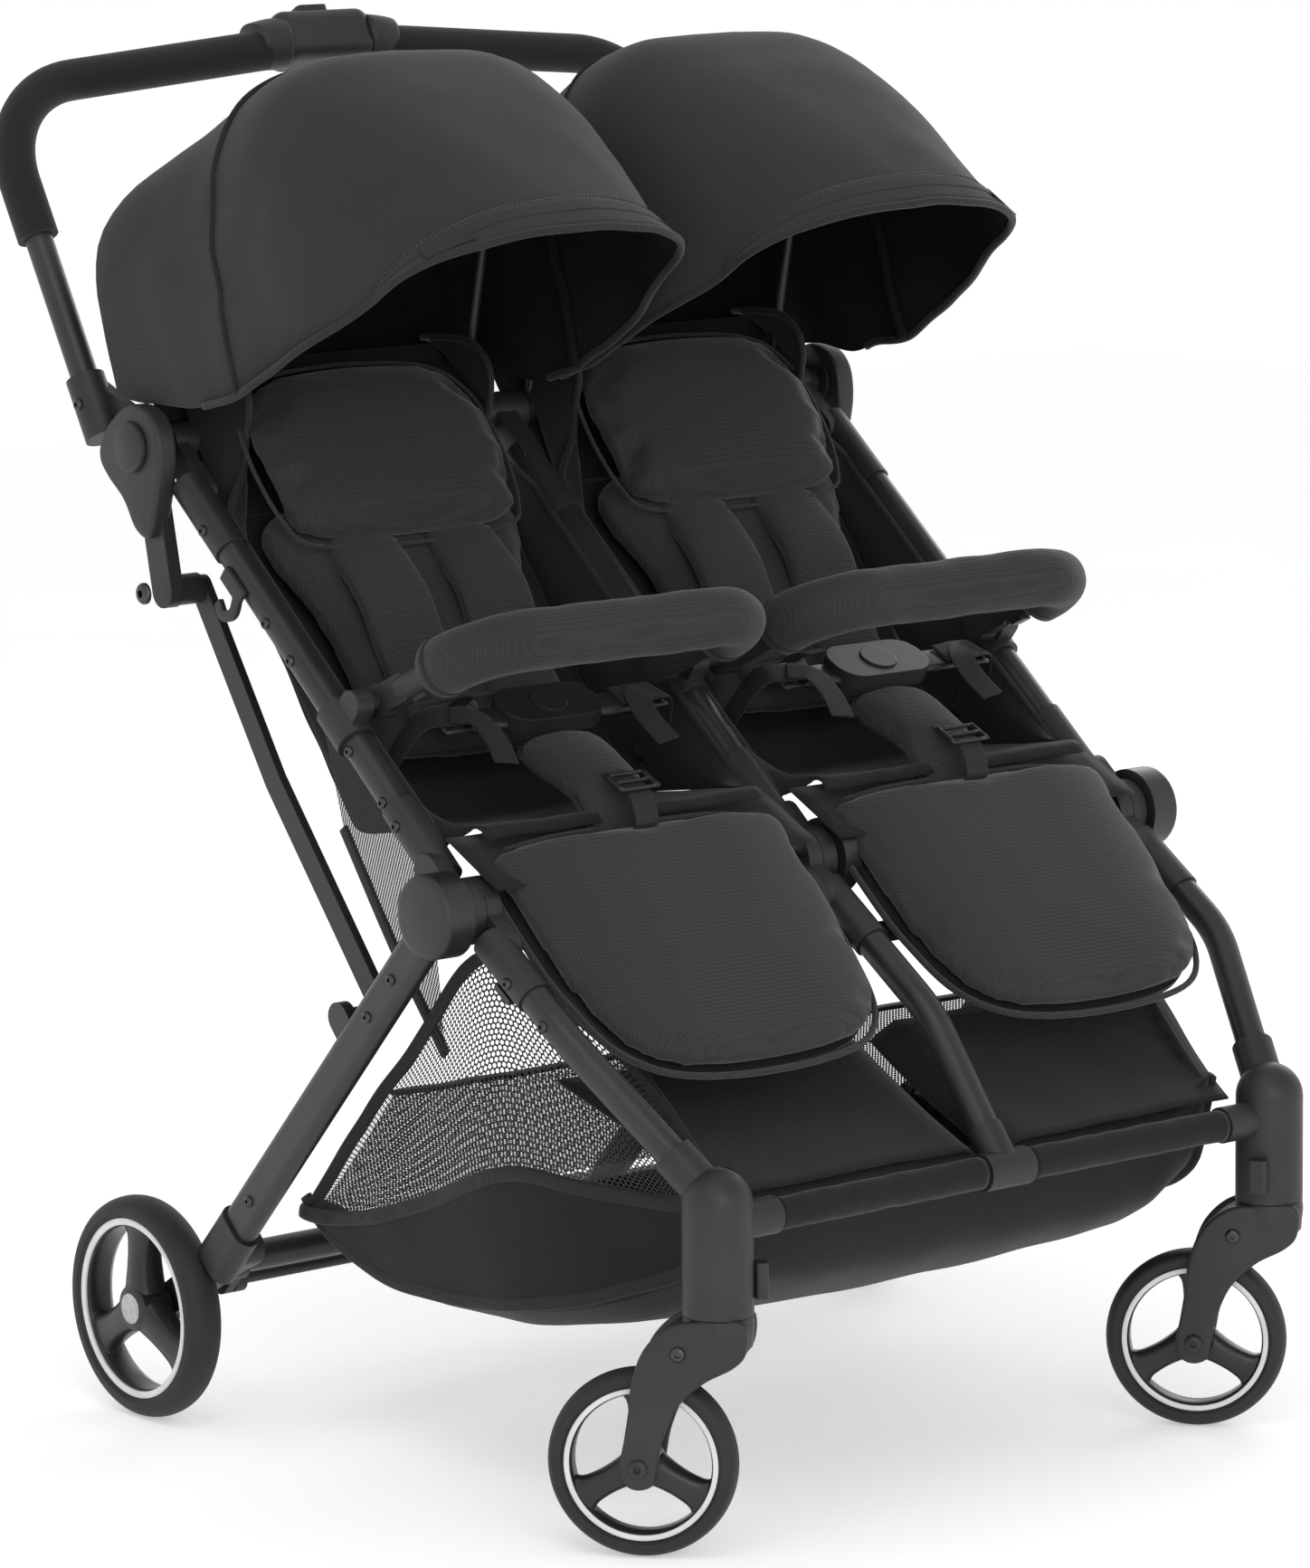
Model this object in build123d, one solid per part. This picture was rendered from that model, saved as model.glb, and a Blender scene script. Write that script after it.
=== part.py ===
from build123d import *
import os
from math import sin, cos, radians, atan2, degrees, hypot

# Twin side-by-side folding buggy. Millimetres; X across (left seat at -X), front at -Y, +Z up, floor at Z = 0.
# Side profiles are given as (y, z) pairs measured from a datum over the middle of the wheelbase.

# ---- driving dimensions -------------------------------------------------------------------------------------
DATUM_TO_MIDDLE = 11.2        # the exported origin lies this far behind the working datum
RUN = 0.3                     # gap left between faces that pass each other
PIN_FIT = 0.05                # radial clearance of a pin in its hole
PLATE_GAP = 0.6               # side gap between stacked pivot plates

# planes across the width
SEAT_X = 323.0                # side seat tubes and tops of the side front legs
REAR_X = 347.5                # side rear legs
REAR_CENTRE_X = 26.0          # centre rear leg, beside the centre seat tube
HANDLE_X = 335.0
LINK_X = 305.5
CASTOR_X = 275.0
REAR_WHEEL_X = 360.0
SEAT_MID_X = 165.0            # middle of one seat

# side profile
HUB = (-180.0, 450.0)
SEAT_ANGLE = 39.6
SEAT_LENGTH = 494.0           # hub axis to upper hinge axis
REAR_ANGLE = -46.7
REAR_LEG_LENGTH = 418.0
FRONT_KNEE = (-300.0, 370.0)
CASTOR_Y = -408.0
HOUSING_TOP = 262.0
HOUSING_BOTTOM = 181.0
FRONT_CROSS_Z = 246.0
REAR_CROSS = (143.0, 128.0)
REAR_AXLE = (198.0, 88.0)
HANDLE_FOOT = (268.0, 778.0)
HANDLE_CORNER = (411.0, 1028.0)
HANDLE_TOP = (428.0, 1054.0)
GRIP_START = 160.0            # grip starts this far up the handle leg from its foot
LEVER_PIVOT = (177.0, 654.0)
LINK_PIVOT = (-49.4, 353.7)

# tubes and plates
TUBE_D = 24.0
TUBE_WALL = 1.5
SLEEVE_D = 28.0
HANDLE_TUBE_D = 22.0
GRIP_D = 33.0
CROSS_TUBE_D = 21.0
REAR_LEG_W = 34.0
REAR_LEG_T = 17.0
REAR_CENTRE_T = 16.0
HUB_DISC_D = 64.0
HUB_DISC_PROUD = 5.0
HUB_LUG_D = 50.0
SHAFT_D = 16.0
UPPER_PIN_D = 12.0
BARREL_D = 33.0
LEVER_T = 11.5
LEVER_W = 26.0
LINK_T = 7.0
LINK_W = 20.0
LINK_PIN_D = 8.0

# wheels
REAR_WHEEL_R = 88.0
REAR_TYRE_W = 32.0
FRONT_WHEEL_R = 70.0
FRONT_TYRE_W = 28.0
REAR_AXLE_D = 12.0
FRONT_AXLE_D = 10.0
TRAIL = 56.0
CASTOR_TURN = 41.5            # castor heading at rest, from straight behind towards -X
HOUSING_D = 52.0
SWIVEL_PIN_D = 10.0
FORK_ARM_T = 7.0
FORK_GAP = 2.5                # tyre to fork arm
HEAD_H = 13.0
LOCK_Z = 205.0                # middle of the swivel lock peg
LOCK_H = 26.0
LOCK_DEPTH = 10.0

# seats and soft goods
SEAT_W = 250.0
SLING_T = 4.0
BIGHT = (0.0, 506.0)          # where the backrest leaves the seat
BACK_ANGLE = 53.0
SLING_HALF = SEAT_W / 2 + 15
BACK_LENGTH = 245.0
BACK_T = 26.0
BACK_W_TOP = 236.0
BACK_W_BOTTOM = 190.0
HEAD_LENGTH = 148.0
HEAD_W = 226.0
HEAD_T = 24.0
PAN_BACK_Z = 488.0            # the seat meets the backrest at this height
BUCKLE = (-72.0, 566.0)
BUCKLE_H = 46.0
CROTCH_END = (-172.0, 520.0)
FOOT_ANGLE = -138.5
FOOT_START = -20.0            # the board begins this far behind the hub axis
FOOT_LENGTH = 212.0
FOOT_W = 256.0
FOOT_T = 22.0
FOOT_LIFT = 18.0
FOOT_CORNER_R = 96.0
BUMPER_ALONG = 190.0          # bumper pivot, measured up the seat tube from the hub
BUMPER_LIFT = 24.0            # and lifted off the tube
BUMPER_HALF = 133.5           # half the spacing of its two arms
BUMPER_CHEEK = 16.0
BUMPER_FRONT = (-168.0, 643.0)
BUMPER_REACH = 72.0           # pivot to the end of the padded bar
BUMPER_D = 45.0
BUMPER_ADAPTER_D = 24.0
BUMPER_BUTTON_TRAVEL = 1.8
CANOPY_OUT_X = 331.0
CANOPY_IN_X = 7.0
CANOPY_T = 3.0
BOW_D = 8.0
CANOPY_DISC_OUT_X = 286.0
CANOPY_DISC_IN_X = 33.0
CANOPY_DISC_T = 12.0
CANOPY_BOW_TOP = (135.0, 1045.2)
CANOPY_SEAM_Y = 135.0
BASKET_T = 3.0

SIDES = (-1, 1)
NODES = {}


# ---- helpers --------------------------------------------------------------------------------------------------
def polar(origin, angle, reach):
    return (origin[0] + reach * cos(radians(angle)), origin[1] + reach * sin(radians(angle)))


def bearing(p, q):
    return degrees(atan2(q[1] - p[1], q[0] - p[0]))


def span(p, q):
    return hypot(q[0] - p[0], q[1] - p[1])


def at(x, p):
    return Vector(x, p[0], p[1])


def rod(p, q, d, bore=0.0):
    """Round bar or tube from p to q."""
    p, q = Vector(*p), Vector(*q)
    plane = Plane(origin=p, z_dir=q - p)
    length = (q - p).length
    section = Circle(d / 2) - Circle(bore / 2) if bore else Circle(d / 2)
    return extrude(plane * section, amount=length)


def across(x0, x1, p, d, bore=0.0):
    """Round piece along X from x0 to x1, centred on the side-profile point p."""
    return rod((min(x0, x1), *p), (max(x0, x1), *p), d, bore)


def flat_bar(x_mid, p, q, width, thick, over=0.0):
    """Bar with a flat-oval section; thick runs along X, width in the side plane."""
    start, end = at(x_mid, p), at(x_mid, q)
    plane = Plane(origin=start, x_dir=(1, 0, 0), z_dir=end - start)
    section = RectangleRounded(thick, width, thick / 2 - 0.01)
    return extrude(plane * section, amount=(end - start).length + over)


def slab(x_mid, p, q, width, thick):
    """Plate with round ends in the side plane, thick along X."""
    plane = Plane(origin=at(x_mid - thick / 2, p), x_dir=(0, q[0] - p[0], q[1] - p[1]), z_dir=(1, 0, 0))
    length = span(p, q)
    outline = Pos(length / 2, 0) * SlotCenterToCenter(length, width)
    return extrude(plane * outline, amount=thick)


def side_plate(x_low, x_high, outline):
    """Flat plate between two X planes from a sketch drawn in (y, z)."""
    plane = Plane(origin=(min(x_low, x_high), 0, 0), x_dir=(0, 1, 0), z_dir=(1, 0, 0))
    return extrude(plane * outline, amount=abs(x_high - x_low), dir=(1, 0, 0))


def bent_tube(points, radii, d, bore=0.0):
    """Tube along straight runs joined by tangent arcs."""
    path = FilletPolyline(*points, radius=radii) if radii else Polyline(*points)
    plane = Plane(origin=path @ 0, z_dir=path % 0)
    body = sweep(plane * Circle(d / 2), path=path)
    if bore:
        body -= sweep(plane * Circle(bore / 2), path=path)
    return body


def solids_of(shape):
    return [s for s in shape.solids()]


def node(name, *shapes):
    """Collects the solids of one named piece, or of one group of like pieces."""
    NODES.setdefault(name, []).extend(s for shape in shapes for s in solids_of(shape))


def mirror_x(shape):
    return mirror(shape, about=Plane.YZ)


UPPER = polar(HUB, SEAT_ANGLE, SEAT_LENGTH)
SEAT_XS = (-SEAT_X, 0.0, SEAT_X)


# ---- chassis ----------------------------------------------------------------------------------------------------
def side_of(x):
    return -1 if x < 0 else 1


def hub_lug_planes(x):
    """Inner plate (front leg) and outer plate (seat tube) of the hub at x."""
    half = SLEEVE_D / 2
    if x == 0:
        return (-half, -PLATE_GAP / 2), (PLATE_GAP / 2, half)
    s = side_of(x)
    return (x - s * half, x - s * PLATE_GAP / 2), (x + s * PLATE_GAP / 2, x + s * half)


def hub_sleeve(x, angle, planes, start, end, hole):
    """Moulded sleeve: a lug on the hub shaft that opens into a round socket over the tube."""
    lug = across(*planes, HUB, HUB_LUG_D) - across(*planes, HUB, hole)
    near, far = polar(HUB, angle, HUB_LUG_D / 2 - 4), polar(HUB, angle, start + 8)
    thick = abs(planes[1] - planes[0])
    neck = slab((planes[0] + planes[1]) / 2, near, far, SLEEVE_D, thick)
    neck -= across(*planes, HUB, HUB_LUG_D - 2)
    socket = rod(at(x, polar(HUB, angle, start)), at(x, polar(HUB, angle, end)), SLEEVE_D)
    body = lug + neck + socket
    return body - rod(at(x, polar(HUB, angle, start + 10)), at(x, polar(HUB, angle, end + 1)), TUBE_D + 0.1)


SLEEVE_START = HUB_LUG_D / 2 + 8
SLEEVE_END = 106.0
FRONT_ANGLE = bearing(HUB, FRONT_KNEE)
CENTRE_KNEE = 176.0
BRACE_ALONG = 72.0            # flat brace under the front leg sleeves
BRACE_T = 5.0
SADDLE_D = CROSS_TUBE_D + 8.0


def front_leg_points(x):
    start = at(x, polar(HUB, FRONT_ANGLE, SLEEVE_START + 11))
    if x == 0:
        knee = polar(HUB, FRONT_ANGLE, CENTRE_KNEE)
        foot = polar((CASTOR_Y, FRONT_CROSS_Z), bearing((CASTOR_Y, FRONT_CROSS_Z), knee), SADDLE_D / 2 - 2)
        return [start, at(0, knee), at(0, foot)]
    s = side_of(x)
    foot = Vector(s * (CASTOR_X + 6), CASTOR_Y + 16, HOUSING_TOP + 15)
    return [start, at(x, FRONT_KNEE), foot]


def chassis():
    for x in SEAT_XS:
        inner, _ = hub_lug_planes(x)
        node("front_leg_sleeves", hub_sleeve(x, FRONT_ANGLE, inner, SLEEVE_START, SLEEVE_END - 10,
                                             SHAFT_D + 2 * PIN_FIT))
        node("front_legs", bent_tube(front_leg_points(x), 110, TUBE_D, TUBE_D - 2 * TUBE_WALL))
    knee, foot = front_leg_points(0)[1:]
    saddle = across(-22, 22, (CASTOR_Y, FRONT_CROSS_Z), SADDLE_D)
    saddle += rod(at(0, (CASTOR_Y, FRONT_CROSS_Z)), foot + (knee - foot).normalized() * 22, SLEEVE_D)
    saddle -= rod(foot, knee, TUBE_D + 0.1)
    saddle -= across(-23, 23, (CASTOR_Y, FRONT_CROSS_Z), CROSS_TUBE_D + 0.1)
    node("front_leg_sleeves", saddle)
    brace_at = polar(polar(HUB, FRONT_ANGLE, BRACE_ALONG), FRONT_ANGLE + 90,
                     SLEEVE_D / 2 + RUN + BRACE_T / 2)
    brace = Pos(0, *brace_at) * (Rot(FRONT_ANGLE, 0, 0) * Box(2 * SEAT_X + 16, 20, BRACE_T))
    node("front_brace", fillet(brace.edges().filter_by(Axis.X), 1.8))
    end = CASTOR_X - HOUSING_D / 2 - 0.1
    node("front_cross_tube", rod((-end, CASTOR_Y, FRONT_CROSS_Z), (end, CASTOR_Y, FRONT_CROSS_Z),
                                 CROSS_TUBE_D, CROSS_TUBE_D - 2 * TUBE_WALL))
    for s in SIDES:
        x = s * CASTOR_X
        barrel = rod((x, CASTOR_Y, HOUSING_BOTTOM), (x, CASTOR_Y, HOUSING_TOP), HOUSING_D)
        dome = Pos(x, CASTOR_Y, HOUSING_TOP) * Sphere(HOUSING_D / 2)
        knee, foot = front_leg_points(s * SEAT_X)[1:]
        up = (knee - foot).normalized()
        socket = rod(foot - up * 18, foot + up * 26, TUBE_D + 8)
        side_socket = rod((x, CASTOR_Y, FRONT_CROSS_Z),
                          (s * (CASTOR_X - HOUSING_D / 2 - 26), CASTOR_Y, FRONT_CROSS_Z), CROSS_TUBE_D + 7)
        housing = barrel + dome + socket + side_socket
        housing -= rod(foot - up * 0.1, foot + up * 60, TUBE_D + 0.1)
        housing -= rod((s * (end + 0.1), CASTOR_Y, FRONT_CROSS_Z),
                       (s * (end - 60), CASTOR_Y, FRONT_CROSS_Z), CROSS_TUBE_D + 0.1)
        housing -= rod((x, CASTOR_Y, HOUSING_BOTTOM - 1), (x, CASTOR_Y, HOUSING_TOP - 10),
                       SWIVEL_PIN_D + 2 * PIN_FIT)
        node("castor_housings", housing)
    reach = REAR_X + REAR_LEG_T / 2 - 2
    node("hub_shaft", rod((-reach, *HUB), (reach, *HUB), SHAFT_D))


# ---- castors and wheels -----------------------------------------------------------------------------------------
def castor_frame(s):
    """Local frame under a castor housing: +Y trails behind the swivel axis."""
    return Location((s * CASTOR_X, CASTOR_Y, 0), (0, 0, CASTOR_TURN))


def wheel(radius, width, bore):
    """Rim with three swept spokes, and its tyre, on the X axis at the origin."""
    bed = radius * 0.80
    inner = radius * 0.70
    hub_r = radius * 0.235
    plane = Plane.YZ
    rim = extrude(plane * (Circle(bed) - Circle(inner)), amount=width * 0.40, both=True)
    hub = extrude(plane * Circle(hub_r), amount=width * 0.46, both=True)
    body = rim + hub
    for turn in (90, 210, 330):
        outline = Polygon((0, -hub_r * 0.95), (0, hub_r * 0.95), (inner + 2, hub_r * 0.62),
                          (inner + 2, -hub_r * 0.62), align=None)
        body += extrude(plane * (Rot(0, 0, turn) * outline), amount=width * 0.22, both=True)
    body -= extrude(plane * Circle(bore / 2), amount=width, both=True)
    depth = radius - bed - 0.1
    section = Plane.XY * (Pos(0, radius - depth / 2) * RectangleRounded(width, depth, depth * 0.43))
    tyre = revolve(section, axis=Axis.X)
    return body, tyre


def castors():
    rim, tyre = wheel(FRONT_WHEEL_R, FRONT_TYRE_W, FRONT_AXLE_D + 2 * PIN_FIT)
    arm_in = FRONT_TYRE_W / 2 + FORK_GAP
    arm_mid = arm_in + FORK_ARM_T / 2
    head_z = HOUSING_BOTTOM - RUN - HEAD_H
    for s, side in zip(SIDES, ("left", "right")):
        frame = castor_frame(s)
        axle = (TRAIL, FRONT_WHEEL_R)
        head = rod((0, 0, head_z), (0, 0, head_z + HEAD_H), HOUSING_D - 2)
        pin = rod((0, 0, head_z), (0, 0, HOUSING_TOP - 12), SWIVEL_PIN_D)
        fork = head + pin
        bolt_at = (26.0, head_z - 4)
        for k in SIDES:
            fork += slab(k * arm_mid, (4.0, head_z + HEAD_H - 14), bolt_at, 26, FORK_ARM_T)
            fork += slab(k * arm_mid, bolt_at, (axle[0] + 2, axle[1] + 34), 26, FORK_ARM_T)
            fork += slab(k * arm_mid, (axle[0] + 2, axle[1] + 34), axle, 24, FORK_ARM_T)
        fork -= across(-40, 40, (axle[0], axle[1]), FRONT_WHEEL_R * 2 + 2 * FORK_GAP) & Box(
            2 * arm_in, 400, 600)
        fork += across(-arm_in - FORK_ARM_T - 2, arm_in + FORK_ARM_T + 2, axle, FRONT_AXLE_D)
        node(f"castor_fork_{side}", frame * fork)
        hub_at = Pos(0, *axle)
        node(f"front_rim_{side}", frame * (hub_at * rim))
        node(f"front_tyre_{side}", frame * (hub_at * tyre))
        # swivel lock: a peg in front of the housing, towards the middle, that slides down
        turn = 30 if s < 0 else 150
        peg = Pos(s * CASTOR_X, CASTOR_Y, LOCK_Z) * (Rot(0, 0, -turn) * (Pos(
            HOUSING_D / 2 + RUN + LOCK_DEPTH / 2, 0) * Box(LOCK_DEPTH, 14, LOCK_H)))
        node(f"castor_lock_{side}", fillet(peg.edges().filter_by(Axis.Z), 3))


def rear_wheels():
    rim, tyre = wheel(REAR_WHEEL_R, REAR_TYRE_W, REAR_AXLE_D + 2 * PIN_FIT)
    for s, side in zip(SIDES, ("left", "right")):
        place = Pos(s * REAR_WHEEL_X, *REAR_AXLE)
        node(f"rear_rim_{side}", place * rim)
        node(f"rear_tyre_{side}", place * tyre)


# ---- rear frame -------------------------------------------------------------------------------------------------
REAR_FOOT = polar(HUB, REAR_ANGLE, REAR_LEG_LENGTH)
BRACKET_X = REAR_WHEEL_X - REAR_TYRE_W / 2 - 9.0
BRAKE_BAR_D = 10.0
BRAKE_PIVOT = (REAR_CROSS[0] + 20, REAR_CROSS[1] - 22)


def rear_frame():
    for s in SIDES:
        x = s * REAR_X
        leg = flat_bar(x, polar(HUB, REAR_ANGLE, HUB_DISC_D / 2 - 6), REAR_FOOT, REAR_LEG_W, REAR_LEG_T)
        leg -= across(x - 20, x + 20, HUB, HUB_DISC_D - 4)
        inner, outer = x - s * REAR_LEG_T / 2, x + s * (REAR_LEG_T / 2 + HUB_DISC_PROUD)
        disc = across(inner, outer, HUB, HUB_DISC_D)
        disc -= across(inner, x + s * (REAR_LEG_T / 2 - 2 + RUN), HUB, SHAFT_D + 2 * PIN_FIT)
        ear = slab(x - s * 4.0, polar(HUB, REAR_ANGLE, span(HUB, LINK_PIVOT)), LINK_PIVOT, 24, 9)
        stub = across(inner + s * 2, s * (LINK_X + LINK_T / 2 + 0.8), LINK_PIVOT, LINK_PIN_D + 5)
        pin = across(inner, s * (LINK_X - LINK_T / 2 - 2), LINK_PIVOT, LINK_PIN_D)
        node("rear_legs", leg + disc + ear + stub + pin)
        bracket_foot = polar(HUB, REAR_ANGLE, REAR_LEG_LENGTH - 34)
        bx = s * BRACKET_X
        boss = across(bx - 9, bx + 9, REAR_AXLE, 30)
        arm = slab(bx, REAR_FOOT, REAR_AXLE, 26, 16)
        collar = flat_bar(x, bracket_foot, REAR_FOOT, REAR_LEG_W + 6, REAR_LEG_T + 6, 16)
        cross_boss = rod((s * (REAR_X + 4), *REAR_CROSS), (s * (REAR_X - 40), *REAR_CROSS), TUBE_D + 8)
        web = slab(bx - s * 6, REAR_FOOT, REAR_CROSS, 28, 20)
        tab = slab(s * (REAR_X - 38), REAR_CROSS, BRAKE_PIVOT, 20, 8)
        bracket = collar + arm + boss + cross_boss + web + tab
        bracket -= across(s * (REAR_X - 60), s * (REAR_X - 30), BRAKE_PIVOT, BRAKE_BAR_D + 2 * PIN_FIT)
        keep_out = across(s * (REAR_WHEEL_X - REAR_TYRE_W / 2 - 1.5), s * 400, REAR_AXLE,
                          2 * REAR_WHEEL_R + 6)
        bracket -= keep_out
        bracket -= flat_bar(x, polar(HUB, REAR_ANGLE, 100), REAR_FOOT, REAR_LEG_W + 0.1, REAR_LEG_T + 0.1)
        bracket -= rod((s * (REAR_X - 8), *REAR_CROSS), (s * 100, *REAR_CROSS), TUBE_D + 0.1)
        bracket -= across(bx - 20, bx + 20, REAR_AXLE, REAR_AXLE_D)
        node("rear_wheel_brackets", bracket)
        x_in = s * (BRACKET_X - 9)
        x_out = s * (REAR_WHEEL_X + REAR_TYRE_W / 2 - 1)
        axle = across(x_in, x_out, REAR_AXLE, REAR_AXLE_D)
        cap = across(s * (REAR_WHEEL_X + REAR_TYRE_W * 0.46 + 0.4), x_out, REAR_AXLE, 24)
        node("rear_axles", axle + cap)
    cross_end = REAR_X - 8 - 0.1
    node("rear_cross_tube", rod((-cross_end, *REAR_CROSS), (cross_end, *REAR_CROSS), TUBE_D,
                                TUBE_D - 2 * TUBE_WALL))
    foot = polar(HUB, REAR_ANGLE, span(HUB, REAR_CROSS) - TUBE_D / 2 - 6)
    centre = flat_bar(REAR_CENTRE_X, polar(HUB, REAR_ANGLE, HUB_DISC_D / 2 - 6), foot, REAR_LEG_W - 6,
                      REAR_CENTRE_T)
    centre -= across(0, 60, HUB, HUB_DISC_D - 8)
    lo, hi = REAR_CENTRE_X - REAR_CENTRE_T / 2, REAR_CENTRE_X + REAR_CENTRE_T / 2
    disc = across(lo, hi, HUB, HUB_DISC_D - 4) - across(lo, hi, HUB, SHAFT_D + 2 * PIN_FIT)
    shoe = across(lo - 2, hi + 2, REAR_CROSS, TUBE_D + 10) + slab(REAR_CENTRE_X, foot, REAR_CROSS, 28,
                                                                REAR_CENTRE_T + 4)
    shoe -= across(lo - 3, hi + 3, REAR_CROSS, TUBE_D + 0.1)
    node("rear_legs", centre + disc + shoe)


def brake():
    """Foot bar hung under the rear cross tube, with a pedal and two pins beside the wheels."""
    reach = REAR_X - 33
    bar = rod((-reach, *BRAKE_PIVOT), (reach, *BRAKE_PIVOT), BRAKE_BAR_D)
    pedal = Pos(0, BRAKE_PIVOT[0] + 24, BRAKE_PIVOT[1] - 4) * (Rot(-12, 0, 0) * Box(84, 52, 9))
    pedal = fillet(pedal.edges().filter_by(Axis.X), 3.5)
    body = bar + pedal
    for s in SIDES:
        body += slab(s * (reach - 16), BRAKE_PIVOT, (BRAKE_PIVOT[0] + 34, BRAKE_PIVOT[1] + 4), 20, 10)
    node("brake_bar", body)


# ---- seat frame -------------------------------------------------------------------------------------------------
def along_seat(reach, lift=0.0):
    """Point measured up the seat tube from the hub, lifted off it towards the front."""
    p = polar(HUB, SEAT_ANGLE, reach)
    return polar(p, SEAT_ANGLE + 90, lift)


UPPER_SLEEVE = 118.0
UPPER_CLEAR = 50.0            # tube end to upper hinge axis, so that the lever and bracket can pass
SEAT_LUG_T = 11.0
BUMPER_PIN_D = 12.0


def seat_frame():
    for x in SEAT_XS:
        _, outer = hub_lug_planes(x)
        node("seat_lower_sleeves", hub_sleeve(x, SEAT_ANGLE, outer, SLEEVE_START, SLEEVE_END,
                                              SHAFT_D + 2 * PIN_FIT))
        top = SEAT_LENGTH - UPPER_CLEAR
        node("seat_tubes", rod(at(x, along_seat(SLEEVE_START + 11)), at(x, along_seat(top)), TUBE_D,
                               TUBE_D - 2 * TUBE_WALL))
        sleeve = rod(at(x, along_seat(SEAT_LENGTH - UPPER_SLEEVE)), at(x, along_seat(top + 6)), SLEEVE_D)
        half = SLEEVE_D / 2
        if x == 0:
            low, high = -half - 10, half + 10
            neck_mid, neck_t = 0.0, 20.0
        else:
            s = side_of(x)
            low, high = sorted((x - s * (half + 14), x - s * (half - SEAT_LUG_T)))
            neck_mid, neck_t = x - s * (half - SEAT_LUG_T / 2), SEAT_LUG_T
        barrel = across(low, high, UPPER, BARREL_D)
        neck = slab(neck_mid, along_seat(top - 4), UPPER, SLEEVE_D - 4, neck_t)
        body = sleeve + barrel + neck
        body -= rod(at(x, along_seat(SEAT_LENGTH - UPPER_SLEEVE - 1)), at(x, along_seat(top + 0.1)),
                    TUBE_D + 0.1)
        body -= across(low - 1, high + 1, UPPER, UPPER_PIN_D)
        node("seat_upper_sleeves", body)
    reach = CANOPY_DISC_IN_X + CANOPY_DISC_T / 2 + 2
    node("upper_hinge_pins", across(-reach, reach, UPPER, UPPER_PIN_D))
    for s in SIDES:
        node("upper_hinge_pins", across(s * (CANOPY_DISC_OUT_X - CANOPY_DISC_T / 2 - 2), s * (LEVER_OUT - 3),
                                        UPPER, UPPER_PIN_D))
    bumper_ears()


def bumper_ears():
    """Clips round the seat tubes, each with an ear that carries a bumper pivot stub."""
    pivot = along_seat(BUMPER_ALONG, BUMPER_LIFT)
    for x in SEAT_XS:
        ring = rod(at(x, along_seat(BUMPER_ALONG - 17)), at(x, along_seat(BUMPER_ALONG + 17)), SLEEVE_D + 4)
        ring += slab(x, along_seat(BUMPER_ALONG), pivot, 22, 16)
        ring -= rod(at(x, along_seat(0)), at(x, along_seat(SEAT_LENGTH)), TUBE_D + 0.1)
        reach = SEAT_X - SEAT_MID_X - BUMPER_HALF + BUMPER_CHEEK / 2
        if x == 0:
            reach = SEAT_MID_X - BUMPER_HALF + BUMPER_CHEEK / 2
            ring += across(-reach, reach, pivot, BUMPER_PIN_D)
        else:
            ring += across(x, x - side_of(x) * reach, pivot, BUMPER_PIN_D)
        node("bumper_mounts", ring)


# ---- handle, levers and links -------------------------------------------------------------------------------------
BRACKET_IN = SEAT_X - SLEEVE_D / 2 + SEAT_LUG_T + PLATE_GAP
BRACKET_OUT = BRACKET_IN + 10.0
LEVER_IN = BRACKET_OUT + PLATE_GAP
LEVER_OUT = LEVER_IN + LEVER_T


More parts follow.
